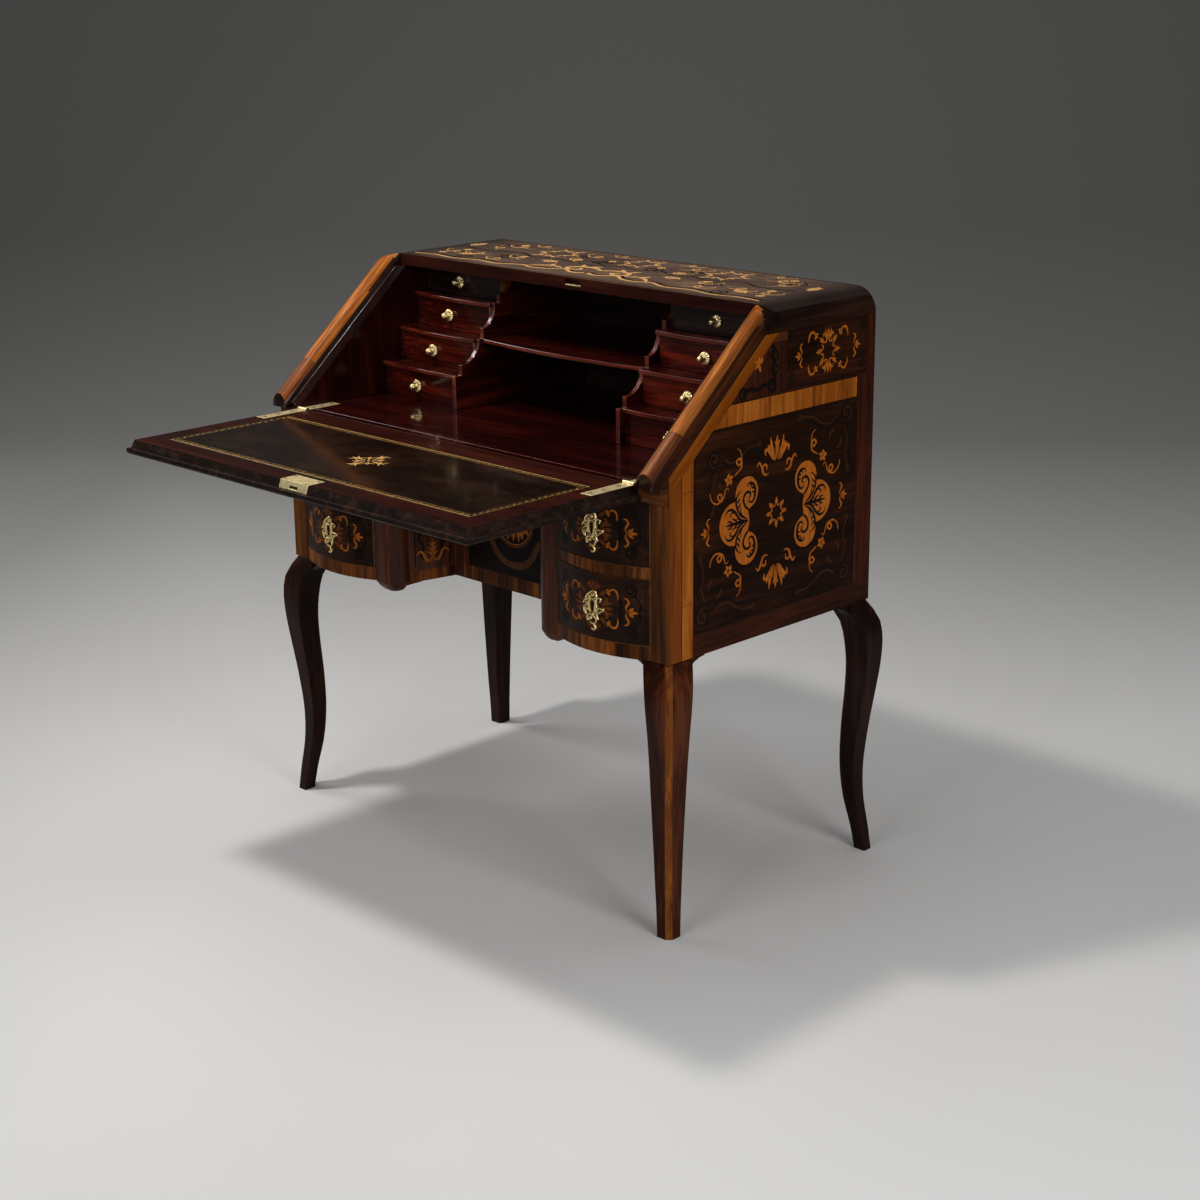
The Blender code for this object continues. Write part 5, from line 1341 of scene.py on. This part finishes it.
YAW, PITCH, ROLL = math.radians(45.0114), math.radians(-16.945), math.radians(-0.5546)
EYE, FOCAL_PIXELS, FRAME_PIXELS, SENSOR = Vector((2.7092, -2.8871 + BACK_Y, 1.5683)), 2199.47, 1200, 36.0


def show(name, data):
    made = bpy.data.objects.new(name, data)
    bpy.context.scene.collection.objects.link(made)
    return made


def make_camera():
    lens = bpy.data.cameras.new("camera")
    lens.sensor_width = SENSOR
    lens.lens = FOCAL_PIXELS / FRAME_PIXELS * SENSOR
    camera = show("camera", lens)
    turns = ((YAW, "Z"), (math.pi / 2 + PITCH, "X"), (ROLL, "Z"))
    yaw, pitch, roll = (Matrix.Rotation(angle, 4, axis) for angle, axis in turns)
    camera.matrix_world = Matrix.Translation(EYE) @ yaw @ pitch @ roll
    bpy.context.scene.camera = camera


def lamp(name, place, target, width, height, power, colour=(1, 1, 1)):
    light = bpy.data.lights.new(name, "AREA")
    light.shape = "RECTANGLE"
    light.size, light.size_y = width, height
    light.energy = power
    light.color = colour
    thing = show(name, light)
    thing.location = place
    thing.rotation_euler = (Vector(target) - Vector(place)).to_track_quat("-Z", "Y").to_euler()


# The stage in metres: half its width, where the floor starts to sweep up, the sweep's radius, the backdrop's top
STAGE_HALF, SWEEP_START, SWEEP_RADIUS, SWEEP_STEPS, STAGE_TOP = 9.0, 3.2, 2.2, 16, 7.0
PAPER_DARK, PAPER_LIGHT, PAPER_PAINTED_SHADE = (0.67, 0.67, 0.67, 1.0), (0.71, 0.71, 0.71, 1.0), (0.2, 0.198, 0.19, 1.0)


def make_stage():
    """A pale floor that sweeps up into a backdrop behind the object and is painted greyer towards the back and the
    left: painted shade where the light falls off.
    """
    profile = [(-STAGE_HALF, 0.0), (SWEEP_START, 0.0)]
    for k in range(1, SWEEP_STEPS + 1):
        turn = math.pi / 2 * k / SWEEP_STEPS
        profile.append((SWEEP_START + SWEEP_RADIUS * math.sin(turn), SWEEP_RADIUS * (1 - math.cos(turn))))
    profile.append((SWEEP_START + SWEEP_RADIUS, STAGE_TOP))
    shape = bmesh.new()
    rows = [[shape.verts.new((along, y, z)) for y, z in profile] for along in (-STAGE_HALF, STAGE_HALF)]
    for a, b, c, d in zip(rows[0], rows[0][1:], rows[1][1:], rows[1]):
        shape.faces.new((a, d, c, b))
    mesh = bpy.data.meshes.new("stage")
    shape.to_mesh(mesh)
    shape.free()
    s = Shader("studio_paper")
    paper = s.ramp(s.noise(0.7, detail=4), (0.3, PAPER_DARK), (0.7, PAPER_LIGHT))
    place = s.place()
    # Painted shade: the paper greys towards the back and to the left.
    left = s.math("SUBTRACT", place["X"], s.math("MULTIPLY", place["Y"], 0.16))
    shade = s.math("MAXIMUM", s.span(place["Y"], 0.0, 1.0, 0.6, 4.6), s.span(left, 0.0, 0.6, -0.5, -1.7))
    s.set(base_color=s.mix(shade, paper, PAPER_PAINTED_SHADE), roughness=0.7)
    mesh.materials.append(s.material)
    mesh.shade_smooth()
    floor = show("stage", mesh)
    floor.rotation_euler = (0, 0, math.radians(45))


def make_world():
    world = bpy.data.worlds.new("studio")
    bpy.context.scene.world = world
    world.use_nodes = True
    ground = world.node_tree.nodes["Background"]
    ground.inputs["Color"].default_value = (1.0, 0.98, 0.95, 1.0)
    ground.inputs["Strength"].default_value = 0.12


make_camera()
make_stage()
make_world()
lamp("key", (-0.75, -0.7, 2.85), (0.1, -0.05, 0.4), 0.24, 0.24, 38, (1.0, 0.97, 0.93))
lamp("fill_right", (3.0, -0.4, 1.7), (0.2, 0.1, 0.6), 1.2, 1.2, 34)
lamp("fill_front", (0.6, -3.9, 2.3), (0.0, 0.0, 0.7), 2.2, 1.6, 40)
lamp("fill_left", (-2.9, -0.7, 2.6), (0.0, -0.1, 0.8), 1.5, 1.1, 30)
lamp("top", (0.2, 0.6, 4.2), (0.0, 0.0, 0.6), 2.2, 2.2, 24)
bpy.context.scene.view_settings.view_transform = "Standard"
